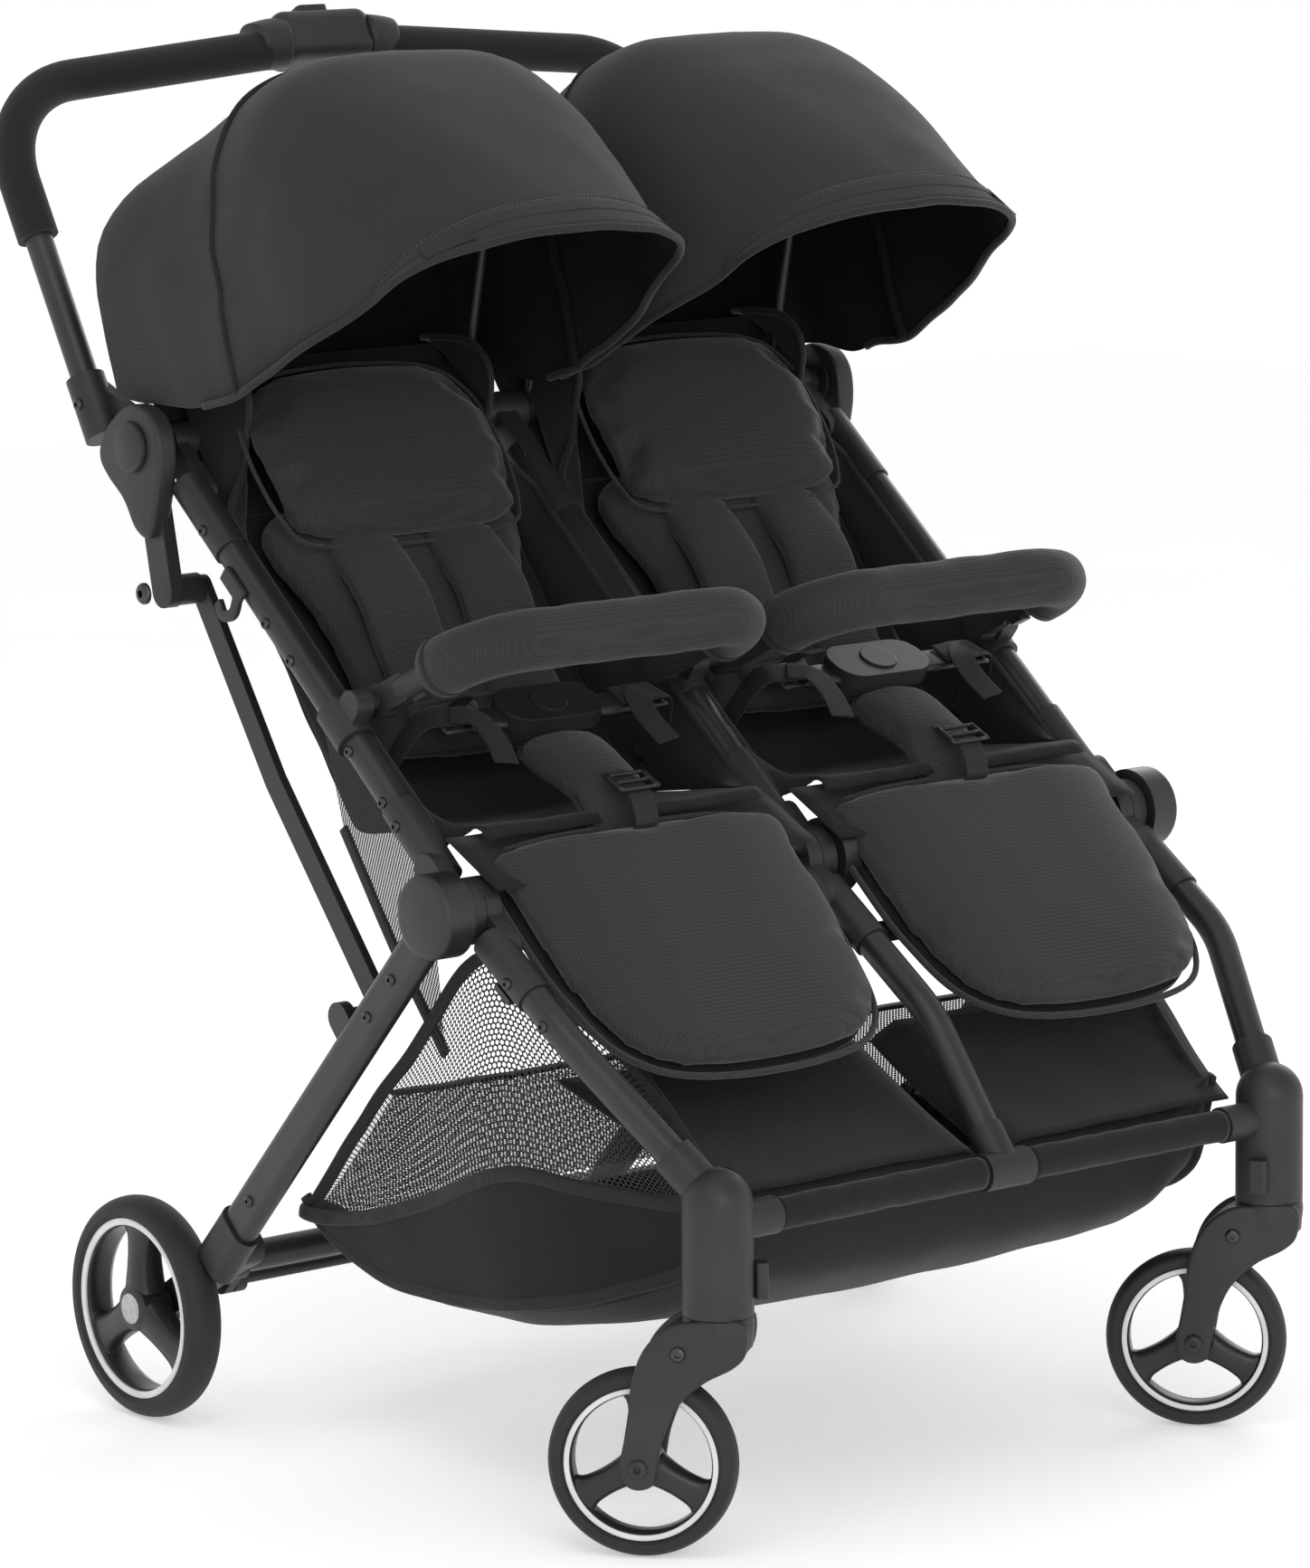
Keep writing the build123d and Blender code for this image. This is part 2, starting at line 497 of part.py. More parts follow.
def handle():
    pts = [Vector(-HANDLE_X, *HANDLE_FOOT), Vector(-HANDLE_X, *HANDLE_CORNER), Vector(0, *HANDLE_TOP),
           Vector(HANDLE_X, *HANDLE_CORNER), Vector(HANDLE_X, *HANDLE_FOOT)]
    node("handle_tube", bent_tube(pts, [88, 600, 88], HANDLE_TUBE_D, HANDLE_TUBE_D - 2 * TUBE_WALL))
    box_half = 48.0
    for s in SIDES:
        corner = Vector(s * HANDLE_X, *HANDLE_CORNER)
        top = Vector(0, *HANDLE_TOP)
        inner = top + (corner - top) * (box_half + 1) / HANDLE_X
        foot = Vector(s * HANDLE_X, *HANDLE_FOOT)
        up = (corner - foot).normalized()
        grip = bent_tube([foot + up * GRIP_START, corner, inner], [88], GRIP_D, HANDLE_TUBE_D + 0.4)
        node("handle_grips", grip)
        socket = rod(foot - up * 14, foot + up * 38, 31)
        socket -= rod(foot - up * 0.1, foot + up * 60, HANDLE_TUBE_D + 0.1)
        mid = s * (BRACKET_IN + BRACKET_OUT) / 2
        thick = BRACKET_OUT - BRACKET_IN
        leg_line = rod(foot - up * 0.1, foot + up * 60, HANDLE_TUBE_D + 0.1)
        arm = slab(mid, UPPER, HANDLE_FOOT, 27, thick)
        arm += slab(mid, UPPER, (HANDLE_FOOT[0] + 12, HANDLE_FOOT[1] + 18), 24, thick)
        arm -= across(mid - s * 20, mid + s * 20, UPPER, UPPER_PIN_D + 2 * PIN_FIT)
        node("handle_brackets", (socket + arm) - leg_line)
    top = Vector(0, *HANDLE_TOP)
    tilt = bearing(HANDLE_FOOT, HANDLE_CORNER)
    shell = Pos(0, HANDLE_TOP[0] + 4, HANDLE_TOP[1] + 1) * (Rot(tilt, 0, 0) * Box(2 * box_half, 44, 42))
    shell = fillet(shell.edges(), 13)
    pocket = Pos(*LATCH_AT) * (Rot(tilt - 90, 0, 0) * Box(30 + 2 * RUN, 18 + 2 * RUN, 17))
    bore = bent_tube([Vector(-HANDLE_X, *HANDLE_CORNER), top, Vector(HANDLE_X, *HANDLE_CORNER)], [600],
                     HANDLE_TUBE_D + 0.3)
    node("latch_housing", shell - pocket - bore)
    button = Pos(*LATCH_AT) * (Rot(tilt - 90, 0, 0) * (Pos(0, 0, 3) * Box(30, 18, 12)))
    node("latch_button", fillet(button.edges().filter_by(lambda e: e.length < 13), 4))


HANDLE_DIR = bearing(HANDLE_FOOT, HANDLE_CORNER)
LATCH_POINT = polar((HANDLE_TOP[0] + 4, HANDLE_TOP[1] + 1), HANDLE_DIR, 19.5)
LATCH_AT = (0.0, *LATCH_POINT)


def levers_and_links():
    boss_end = LINK_X + LINK_T / 2 + 0.8
    for s in SIDES:
        mid = s * (LEVER_IN + LEVER_OUT) / 2
        plate = slab(mid, UPPER, LEVER_PIVOT, LEVER_W, LEVER_T)
        plate += across(s * LEVER_IN, s * LEVER_OUT, UPPER, 46)
        plate += slab(mid, UPPER, polar(UPPER, 74, 12), 38, LEVER_T)
        plate += across(s * boss_end, s * LEVER_OUT, LEVER_PIVOT, 24)
        plate -= across(s * LEVER_IN, s * (LEVER_OUT - 3 + RUN), UPPER, UPPER_PIN_D + 2 * PIN_FIT)
        node("levers", plate)
        bend = (83.0, 513.0)
        low = slab(s * LINK_X, LINK_PIVOT, bend, LINK_W, LINK_T)
        high = slab(s * LINK_X, bend, LEVER_PIVOT, LINK_W, LINK_T)
        link = low + high
        link -= across(s * (LINK_X - 10), s * (LINK_X + 10), LINK_PIVOT, LINK_PIN_D + 2 * PIN_FIT)
        node("links", link)


# ---- soft goods ---------------------------------------------------------------------------------------------------
def seat_mid(side):
    return side * SEAT_MID_X


def meet(p, p_angle, q, q_angle):
    """Crossing point of two lines in the side plane."""
    pc, ps = cos(radians(p_angle)), sin(radians(p_angle))
    qc, qs = cos(radians(q_angle)), sin(radians(q_angle))
    reach = ((q[0] - p[0]) * qs - (q[1] - p[1]) * qc) / (pc * qs - ps * qc)
    return polar(p, p_angle, reach)


CROTCH_TILT = bearing(CROTCH_END, BUCKLE)
CROTCH_DEPTH = 12.0           # the crotch pad's underside below the line from its end to the buckle


def sling(side):
    """Trough of cloth from tube to tube: two side walls, a seat and a back, open above."""
    x = seat_mid(side)
    half = SLING_HALF
    lip = polar(CROTCH_END, CROTCH_TILT - 90, CROTCH_DEPTH + RUN)
    back_in = polar(BIGHT, BACK_ANGLE - 90, RUN)
    back_out = polar(BIGHT, BACK_ANGLE - 90, RUN + SLING_T)
    pan_in = meet(back_in, BACK_ANGLE, (0.0, PAN_BACK_Z), 0)
    pan_out = meet(back_out, BACK_ANGLE, (0.0, PAN_BACK_Z - SLING_T), 0)
    hem = along_seat(96, -4)
    outer = [(lip[0] - 3, lip[1] + 2), (lip[0] - 2, lip[1] - SLING_T), pan_out,
             meet(back_out, BACK_ANGLE, hem, SEAT_ANGLE), hem]
    back_top = polar(back_in, BACK_ANGLE, 330)
    inner = [meet(lip, bearing(pan_in, lip), (lip[0] - 40, 0), 90), pan_in, back_top, (lip[0] - 40, back_top[1])]
    walls = side_plate(x - half, x + half, Polygon(*outer, align=None))
    walls -= side_plate(x - half + SLING_T, x + half - SLING_T, Polygon(*inner, align=None))
    reach = BACK_LENGTH + 17
    panel = [pan_in, pan_out, polar(back_out, BACK_ANGLE, reach), polar(back_in, BACK_ANGLE, reach)]
    body = walls + side_plate(x - half, x + half, Polygon(*panel, align=None))
    strip = [along_seat(215, 0), along_seat(215, -12), along_seat(365, -12), along_seat(365, 0)]
    for near, far in ((TUBE_D / 2 + RUN, x * side - half + 2), (SEAT_X - TUBE_D / 2 - RUN, x * side + half - 2)):
        body += side_plate(*sorted((side * near, side * far)), Polygon(*strip, align=None))
    return body


def pad(x, foot, angle, length, w0, w1, thick, corner):
    """Flat pad with rounded corners standing on foot at an angle, its back face on the line."""
    plane = Plane(origin=at(x, foot), x_dir=(1, 0, 0), z_dir=(0, -sin(radians(angle)), cos(radians(angle))))
    outline = Polygon((-w0 / 2, 0), (w0 / 2, 0), (w1 / 2, length), (-w1 / 2, length), align=None)
    outline = fillet(outline.vertices(), corner)
    return extrude(plane * outline, amount=thick, dir=plane.z_dir)


def seats():
    for side, name in zip(SIDES, ("left", "right")):
        x = seat_mid(side)
        node(f"seat_sling_{name}", sling(side))
        back_foot = polar(BIGHT, BACK_ANGLE, 12)
        node(f"back_pad_{name}", pad(x, back_foot, BACK_ANGLE, BACK_LENGTH, BACK_W_BOTTOM, BACK_W_TOP,
                                     BACK_T, 24))
        head_foot = polar(BIGHT, BACK_ANGLE, 12 + BACK_LENGTH - HEAD_LENGTH + 92)
        head_foot = polar(head_foot, BACK_ANGLE + 90, BACK_T + 0.3)
        node(f"head_pad_{name}", pad(x, head_foot, BACK_ANGLE, HEAD_LENGTH, HEAD_W - 26, HEAD_W, HEAD_T, 44))
        tilt = CROTCH_TILT
        node("crotch_pads", pad(x, polar(CROTCH_END, tilt - 90, CROTCH_DEPTH), tilt,
                                span(CROTCH_END, BUCKLE) - BUCKLE_H / 2 - RUN, 62, 74, 15, 16))
        face = Plane(origin=at(x, BUCKLE), x_dir=(1, 0, 0),
                     z_dir=(0, -sin(radians(tilt)), cos(radians(tilt))))
        shell = extrude(face * RectangleRounded(92, BUCKLE_H, 20), amount=14)
        shell -= face.offset(9) * extrude(Circle(15 + RUN), amount=10)
        node("buckles", shell)
        node(f"buckle_button_{name}", face.offset(9 + 1.5) * extrude(Circle(15), amount=5))


def footrests():
    for side, name in zip(SIDES, ("left", "right")):
        x = seat_mid(side)
        plane = Plane(origin=at(x, HUB), x_dir=(1, 0, 0),
                      z_dir=(0, -sin(radians(FOOT_ANGLE + 180)), cos(radians(FOOT_ANGLE + 180))))
        near, far = -FOOT_START, -(FOOT_START + FOOT_LENGTH)
        outline = Polygon((-FOOT_W / 2, near), (FOOT_W / 2, near), (FOOT_W / 2, far), (-FOOT_W / 2, far),
                          align=None)
        front = outline.vertices().sort_by(Axis.Y)[:2]
        outline = fillet(front, FOOT_CORNER_R)
        outline = fillet(outline.vertices().sort_by(Axis.Y)[-2:], 18)
        board = extrude(plane.offset(FOOT_LIFT) * outline, amount=FOOT_T, dir=plane.z_dir)
        for k in SIDES:
            bx = x + k * (FOOT_W / 2 - 20)
            low = polar(HUB, FOOT_ANGLE, FOOT_START + 16)
            low = polar(low, FOOT_ANGLE - 90, FOOT_LIFT)
            board += across(bx - 6, bx + 6, HUB, 26) + slab(bx, polar(HUB, FOOT_ANGLE - 90, 6), low, 13, 12)
            board -= across(bx - 8, bx + 8, HUB, SHAFT_D + 2 * PIN_FIT)
        node(f"footrest_{name}", board)


def bumpers():
    pivot = along_seat(BUMPER_ALONG, BUMPER_LIFT)
    lean = bearing(pivot, BUMPER_FRONT)
    reach = BUMPER_REACH - RUN
    bar_end = polar(pivot, lean, BUMPER_REACH)
    for side, name in zip(SIDES, ("left", "right")):
        x = seat_mid(side)
        arm_x = (x - BUMPER_HALF, x + BUMPER_HALF)
        pts = [at(arm_x[0], bar_end), at(arm_x[0], BUMPER_FRONT), at(arm_x[1], BUMPER_FRONT),
               at(arm_x[1], bar_end)]
        node(f"bumper_bar_{name}", bent_tube(pts, [44, 44], BUMPER_D))
        arms = []
        for ax in arm_x:
            cheek = across(ax - BUMPER_CHEEK / 2, ax + BUMPER_CHEEK / 2, pivot, 27)
            cheek += slab(ax, pivot, polar(pivot, lean, 34), 22, BUMPER_CHEEK)
            arm = rod(at(ax, polar(pivot, lean, 30)), at(ax, polar(pivot, lean, reach)), BUMPER_ADAPTER_D)
            body = cheek + arm - across(ax - 12, ax + 12, pivot, BUMPER_PIN_D + 2 * PIN_FIT)
            arms.append(body)
        outer = 0 if side < 0 else 1
        normal = polar((0, 0), lean + 90, 1)
        base = Plane(origin=at(arm_x[outer], polar(polar(pivot, lean, 48), lean + 90, 5)), x_dir=(1, 0, 0),
                     z_dir=(0, normal[0], normal[1]))
        arms[outer] -= extrude(base * RectangleRounded(10 + 2 * RUN, 18 + 2 * RUN, 4), amount=12)
        node(f"bumper_adapters_{name}", *arms)
        button = extrude(base.offset(BUMPER_BUTTON_TRAVEL + RUN) * RectangleRounded(10, 18, 3.7), amount=7)
        node(f"bumper_release_{name}", button)


def bow(side, top_point, drop, d):
    """Wire bow across one canopy: up from the pivots and over the top in one flat arch."""
    x0, x1 = side * CANOPY_DISC_OUT_X, side * CANOPY_DISC_IN_X
    pivot = UPPER
    reach = span(pivot, top_point)
    tilt = bearing(pivot, top_point)
    start = polar(pivot, tilt, 11)
    shoulder = polar(pivot, tilt, reach - drop)
    mid = (x0 + x1) / 2
    quarter = (x1 - x0) / 4
    near_top = polar(pivot, tilt, reach - drop * 0.14)
    pts = [at(x0, start), at(x0, shoulder), at(x0 + quarter * 0.7, near_top),
           at(mid, polar(pivot, tilt, reach)), at(x1 - quarter * 0.7, near_top), at(x1, shoulder),
           at(x1, start)]
    return bent_tube(pts, [50, 50, 200, 50, 50], d)


def hood_arch(side, shrink):
    """The canopy as seen from the front: straight sides and a crown that is lower at the outer edge."""
    t = shrink
    out_x, in_x = CANOPY_OUT_X - t, CANOPY_IN_X + t
    arcs = ThreePointArc((out_x, 930 - t), (288 - t * 0.6, 1024 - t), (170, 1066 - t))
    arcs += ThreePointArc((170, 1066 - t), (75, 1046 - t), (in_x, 1002 - t))
    legs = Polyline((in_x, 1002 - t), (in_x, 700), (out_x, 700), (out_x, 930 - t))
    plane = Plane(origin=(0, 400, 0), x_dir=(1, 0, 0), z_dir=(0, -1, 0))
    block = extrude(plane * make_face(arcs + legs), amount=700, dir=(0, -1, 0))
    return block if side > 0 else mirror_x(block)


def hood_shell(side, outer, inner):
    """Thin cloth shell: the side outline across the width, trimmed to the arch, open where inner is."""
    low, high = sorted((side * CANOPY_OUT_X, side * CANOPY_IN_X))
    skin = side_plate(low - 1, high + 1, Polygon(*outer, align=None)) & hood_arch(side, 0)
    hollow = side_plate(low - 1, high + 1, Polygon(*inner, align=None)) & hood_arch(side, CANOPY_T)
    return skin - hollow


def canopies():
    t = CANOPY_T
    rear_y, front_y = CANOPY_SEAM_Y + RUN, CANOPY_SEAM_Y - RUN
    rear = [(rear_y, 812), (229, 816), (283, 890), (283, 942), (236, 988), (180, 1030), (rear_y, 1053)]
    rear_hollow = [(60, 690), (200, 690), (229 - t, 818), (283 - t, 892), (283 - t, 941), (236 - t, 985),
                   (180 - t, 1027), (rear_y - 1, 1053 - t), (60, 1080)]
    front = [(front_y, 818), (front_y, 1053), (96, 1063), (40, 1041), (-40, 1001), (-122, 949), (-104, 905),
             (0, 852), (96, 814)]
    front_hollow = [(200, 690), (200, 1040), (front_y, 1053 - t), (96, 1063 - t), (40, 1041 - t),
                    (-40, 1001 - t), (-122, 949 - t), (-200, 899), (-200, 690)]
    for side, name in zip(SIDES, ("left", "right")):
        frame_bow = bow(side, CANOPY_BOW_TOP, 58, BOW_D)
        for x in (CANOPY_DISC_OUT_X, CANOPY_DISC_IN_X):
            low, high = sorted((side * (x - CANOPY_DISC_T / 2), side * (x + CANOPY_DISC_T / 2)))
            frame_bow += across(low, high, UPPER, 28)
            frame_bow -= across(low - 1, high + 1, UPPER, UPPER_PIN_D + 2 * PIN_FIT)
        node(f"canopy_bow_{name}", frame_bow)
        node(f"canopy_rear_{name}", hood_shell(side, rear, rear_hollow))
        node(f"canopy_front_{name}", hood_shell(side, front, front_hollow))


def basket():
    """Tub of cloth hung between the front and rear legs, open above."""
    t = BASKET_T
    outline = [(-378, 256), (-352, 176), (-250, 140), (-60, 120), (30, 146), (58, 168), (-56, 290), (-120, 330),
               (-250, 330)]
    hollow = [(-378 + t, 400), (-378 + t, 256), (-352 + t, 178), (-249, 140 + t), (-60, 120 + t),
              (29, 146 + t), (54, 168 + t), (-57 - t, 288), (-120, 327), (-120, 400)]
    plan = [(-236, -380), (-262, -330), (-296, -240), (-304, -150), (-304, 100), (304, 100), (304, -150),
            (296, -240), (262, -330), (236, -380)]
    inner_plan = [(x - t * (1 if x > 0 else -1), y) for x, y in plan]
    reach = 310
    column = extrude(Polygon(*plan, align=None), amount=500, dir=(0, 0, 1))
    well = extrude(Polygon(*inner_plan, align=None), amount=500, dir=(0, 0, 1))
    tub = side_plate(-reach, reach, Polygon(*outline, align=None)) & column
    tub -= side_plate(-reach, reach, Polygon(*hollow, align=None)) & well
    cover = [(-376, 257), (-251, 329.5), (-253, 333.4), (-378, 261.2)]
    node("basket", tub + (side_plate(-reach, reach, Polygon(*cover, align=None)) & column))


def main():
    chassis()
    castors()
    rear_wheels()
    rear_frame()
    brake()
    seat_frame()
    handle()
    levers_and_links()
    seats()
    footrests()
    bumpers()
    canopies()
    basket()
    os.makedirs("parts", exist_ok=True)
    for name, solids in NODES.items():
        moved = [Pos(0, -DATUM_TO_MIDDLE, 0) * s for s in solids]
        shape = moved[0] if len(moved) == 1 else Compound(children=moved)
        export_step(shape, f"parts/{name}.step")


main()
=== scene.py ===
from math import sin, cos, pi, radians, hypot, atan2
import bpy
import bmesh
from mathutils import Vector, Matrix, noise


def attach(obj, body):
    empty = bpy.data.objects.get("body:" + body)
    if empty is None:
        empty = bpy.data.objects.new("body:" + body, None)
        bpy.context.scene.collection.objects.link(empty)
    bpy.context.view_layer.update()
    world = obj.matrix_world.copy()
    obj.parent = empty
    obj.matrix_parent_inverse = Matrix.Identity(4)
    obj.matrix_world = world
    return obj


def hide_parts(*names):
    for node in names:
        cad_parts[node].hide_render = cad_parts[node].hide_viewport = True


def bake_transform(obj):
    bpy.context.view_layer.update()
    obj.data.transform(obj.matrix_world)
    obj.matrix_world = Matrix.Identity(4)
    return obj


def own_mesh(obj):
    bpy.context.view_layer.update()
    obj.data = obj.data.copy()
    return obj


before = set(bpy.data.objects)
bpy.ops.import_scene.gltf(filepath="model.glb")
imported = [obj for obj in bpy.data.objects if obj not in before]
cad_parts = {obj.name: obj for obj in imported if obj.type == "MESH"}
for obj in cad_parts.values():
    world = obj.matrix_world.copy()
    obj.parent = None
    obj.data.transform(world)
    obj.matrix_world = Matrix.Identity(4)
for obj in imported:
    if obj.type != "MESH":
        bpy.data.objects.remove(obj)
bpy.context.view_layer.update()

# ---- side profile of the frame, in metres; y is measured from a datum ----
DATUM = 0.0112
LEG_X = 0.3475
SEAT_HALF = 0.134
PRESSURE = 4.0
HUB = (-0.180, 0.450)
SEAT_ANGLE = radians(39.6)
SEAT_LENGTH = 0.494
BIGHT = (0.0, 0.506)
BACK_ANGLE = radians(53)
SEAT_MID_X = 0.165
SEAT_X = 0.323
BUCKLE = (-0.072, 0.566)
CROTCH_END = (-0.172, 0.520)
CASTOR = (0.275, -0.408)
CASTOR_TURN = radians(41.5)
TRAIL = 0.056
FRONT_WHEEL_R = 0.070
FRONT_TYRE_W = 0.028
REAR_WHEEL = (0.360, 0.198, 0.088)
REAR_WHEEL_R = 0.088
REAR_TYRE_W = 0.032
SIDES = ((-1, "left"), (1, "right"))


def at(x, y, z):
    """A point given on the datum, in the frame."""
    return Vector((x, y - DATUM, z))


def polar(origin, angle, reach):
    return (origin[0] + reach * cos(angle), origin[1] + reach * sin(angle))


UPPER = polar(HUB, SEAT_ANGLE, SEAT_LENGTH)


def along_seat(reach, lift=0.0):
    return polar(polar(HUB, SEAT_ANGLE, reach), SEAT_ANGLE + pi / 2, lift)


def mix(a, b, t):
    return a + (b - a) * t


def smooth(t):
    t = min(max(t, 0.0), 1.0)
    return t * t * (3 - 2 * t)


def curve_through(pts, steps):
    """Points on a smooth curve from the second of pts to the last but one; the ends only steer it."""
    fine = []
    for i in range(1, len(pts) - 2):
        p0, p1, p2, p3 = pts[i - 1:i + 3]
        for k in range(steps):
            t = k / steps
            fine.append(0.5 * ((2 * p1) + (p2 - p0) * t + (2 * p0 - 5 * p1 + 4 * p2 - p3) * t * t
                               + (3 * p1 - 3 * p2 + p3 - p0) * t ** 3))
    return fine


def spline(points, count):
    """count points on a smooth curve through the given ones, evenly spaced."""
    pts = [Vector(p) for p in points]
    pts = [pts[0] * 2 - pts[1]] + pts + [pts[-1] * 2 - pts[-2]]
    return even(curve_through(pts, 24) + [pts[-2]], count)


def even(line, count):
    """The polyline resampled to count evenly spaced points."""
    total = [0.0]
    for a, b in zip(line, line[1:]):
        total.append(total[-1] + (b - a).length)
    out, i = [], 0
    for k in range(count):
        target = total[-1] * k / (count - 1)
        while i < len(line) - 2 and total[i + 1] < target:
            i += 1
        step = total[i + 1] - total[i]
        out.append(line[i].lerp(line[i + 1], (target - total[i]) / step if step else 0))
    return out


def length_of(line):
    return sum((b - a).length for a, b in zip(line, line[1:]))


# ---- mesh building ----
def make(name, verts, faces, material):
    mesh = bpy.data.meshes.new(name)
    mesh.from_pydata([tuple(v) for v in verts], [], faces)
    mesh.update()
    mesh.materials.append(material)
    mesh.polygons.foreach_set("use_smooth", [True] * len(mesh.polygons))
    return linked(name, mesh)


def linked(name, data):
    """New object with this data, in the scene."""
    obj = bpy.data.objects.new(name, data)
    bpy.context.scene.collection.objects.link(obj)
    return obj


def outward(obj):
    """Turns every face of a closed mesh outwards."""
    bm = bmesh.new()
    bm.from_mesh(obj.data)
    bmesh.ops.recalc_face_normals(bm, faces=bm.faces)
    bm.to_mesh(obj.data)
    bm.free()
    return obj


def settle(obj):
    """Applies the object's modifiers to its mesh."""
    bpy.context.view_layer.update()
    evaluated = obj.evaluated_get(bpy.context.evaluated_depsgraph_get())
    mesh = bpy.data.meshes.new_from_object(evaluated)
    obj.modifiers.clear()
    obj.data = mesh
    return obj


def grid(name, rows, material, thick=0.0, offset=0.0):
    """Sheet through rows of points, with an optional thickness."""
    wide = len(rows[0])
    faces = [(j * wide + i, j * wide + i + 1, (j + 1) * wide + i + 1, (j + 1) * wide + i)
             for j in range(len(rows) - 1) for i in range(wide - 1)]
    obj = make(name, [p for row in rows for p in row], faces, material)
    uv = obj.data.uv_layers.new(name="Cloth")
    across = [length_of(rows[len(rows) // 2][:i + 1]) for i in range(wide)]
    down = [length_of([row[wide // 2] for row in rows[:j + 1]]) for j in range(len(rows))]
    for loop in obj.data.loops:
        j, i = divmod(loop.vertex_index, wide)
        uv.data[loop.index].uv = (across[i], down[j])
    if thick:
        solid = obj.modifiers.new("Thick", "SOLIDIFY")
        solid.thickness = thick
        solid.offset = offset
        settle(obj)
    return obj


def frames_along(line, up):
    """Tangent, side and up at each point, turning as little as the line lets them."""
    out = []
    last = Vector(up)
    for i in range(len(line)):
        tangent = (line[min(i + 1, len(line) - 1)] - line[max(i - 1, 0)]).normalized()
        side = tangent.cross(last)
        side = side.normalized() if side.length > 1e-9 else tangent.orthogonal().normalized()
        last = side.cross(tangent).normalized()
        out.append((tangent, side, last))
    return out


def sweep(name, line, section, material, up=(0, 0, 1), scale=None, caps=True):
    """Closed section (side, up) swept along a line; scale(t) gives its size."""
    count = len(section)
    verts, faces = [], []
    for i, (p, (_, side, top)) in enumerate(zip(line, frames_along(line, up))):
        k = scale(i / (len(line) - 1)) if scale else 1.0
        verts += [p + side * (a * k) + top * (b * k) for a, b in section]
    for i in range(len(line) - 1):
        for j in range(count):
            n = (j + 1) % count
            faces.append((i * count + j, i * count + n, (i + 1) * count + n, (i + 1) * count + j))
    if caps:
        faces.append(tuple(reversed(range(count))))
        faces.append(tuple((len(line) - 1) * count + j for j in range(count)))
    return outward(make(name, verts, faces, material))


def circle(r, count=16):
    return [(r * cos(2 * pi * k / count), r * sin(2 * pi * k / count)) for k in range(count)]


def oval(width, thick, power=0.5, count=24):
    """Flat section with full round edges."""
    out = []
    for k in range(count):
        a = 2 * pi * k / count
        c, s = cos(a), sin(a)
        out.append((width / 2 * abs(c) ** power * (1 if c > 0 else -1),
                    thick / 2 * abs(s) ** power * (1 if s > 0 else -1)))
    return out


def strap(name, points, width, thick, material, up=(0, 0, 1), count=40):
    return sweep(name, spline(points, count), oval(width, thick, 0.35), material, up)


def disc(name, centre, axis, profile, material, count=48):
    """Turned piece: profile is (distance along axis, radius) from one end to the other."""
    axis = Vector(axis).normalized()
    side = axis.orthogonal().normalized()
    top = axis.cross(side)
    verts, faces = [], []
    for d, r in profile:
        r = max(r, 1e-5)
        verts += [Vector(centre) + axis * d + side * a + top * b for a, b in circle(r, count)]
    for i in range(len(profile) - 1):
        for k in range(count):
            n = (k + 1) % count
            faces.append((i * count + k, i * count + n, (i + 1) * count + n, (i + 1) * count + k))
    faces.append(tuple(reversed(range(count))))
    faces.append(tuple((len(profile) - 1) * count + k for k in range(count)))
    return soften(make(name, verts, faces, material), 0.0)


def soften(obj, width, segments=3, angle=35):
    """Rounded edges and clean shading."""
    outward(obj)
    if width:
        bevel = obj.modifiers.new("Edges", "BEVEL")
        bevel.width = width
        bevel.segments = segments
        bevel.limit_method = "ANGLE"
        bevel.angle_limit = radians(angle)
        settle(obj)
    obj.data.polygons.foreach_set("use_smooth", [True] * len(obj.data.polygons))
    obj.data.set_sharp_from_angle(angle=radians(angle + 5))
    return obj


def plate(name, outline, low, high, place, material, round_edge=0.002):
    """Plate cut to an outline in the side plane (y, z), between two x planes, then placed."""
    count = len(outline)
    verts = [place @ Vector((x, y, z)) for x in (low, high) for y, z in outline]
    faces = [tuple(range(count)), tuple(reversed(range(count, 2 * count)))]
    faces += [(i, (i + 1) % count, count + (i + 1) % count, count + i) for i in range(count)]
    obj = make(name, verts, faces, material)
    return soften(obj, round_edge)


def block(name, centre, size, turn, material, round_edge):
    """Small moulded block with round edges."""
    verts = [Vector(centre) + turn @ Vector((sx * size[0] / 2, sy * size[1] / 2, sz * size[2] / 2))
             for sx in (-1, 1) for sy in (-1, 1) for sz in (-1, 1)]
    faces = [(0, 1, 3, 2), (4, 6, 7, 5), (0, 4, 5, 1), (2, 3, 7, 6), (0, 2, 6, 4), (1, 5, 7, 3)]
    return soften(make(name, verts, faces, material), round_edge, 4)


def join(name, pieces):
    """Joins pieces into one object."""
    bm = bmesh.new()
    materials = []
    for piece in pieces:
        for m in piece.data.materials:
            if m not in materials:
                materials.append(m)
        index = materials.index(piece.data.materials[0])
        piece.data.polygons.foreach_set("material_index", [index] * len(piece.data.polygons))
        bm.from_mesh(piece.data)
    mesh = bpy.data.meshes.new(name)
    bm.to_mesh(mesh)
    bm.free()
    for m in materials:
        mesh.materials.append(m)
    for piece in pieces:
        bpy.data.objects.remove(piece)
    return linked(name, mesh)


def mounted(obj, body, slot, *nodes):
    """Puts a finished piece on its body and hides the nodes that it stands for; slot, its finish, is not
    used.
    """
    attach(obj, body)
    if nodes:
        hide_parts(*nodes)
    return obj


def declare_sheet(obj, rows):
    """Works out the width, height and flat area of the rows that made a sheet; nothing uses them."""
    width = max(length_of(row) for row in rows)
    height = max(length_of([row[i] for row in rows]) for i in range(len(rows[0])))
    flat = 0.0
    for a, b in zip(rows, rows[1:]):
        for i in range(len(a) - 1):
            first = (b[i] - a[i]).cross(a[i + 1] - a[i]).length
            second = (b[i + 1] - a[i + 1]).cross(b[i + 1] - b[i]).length
            flat += (first + second) / 2
    flat = min(flat, 0.999 * width * height)
    return obj


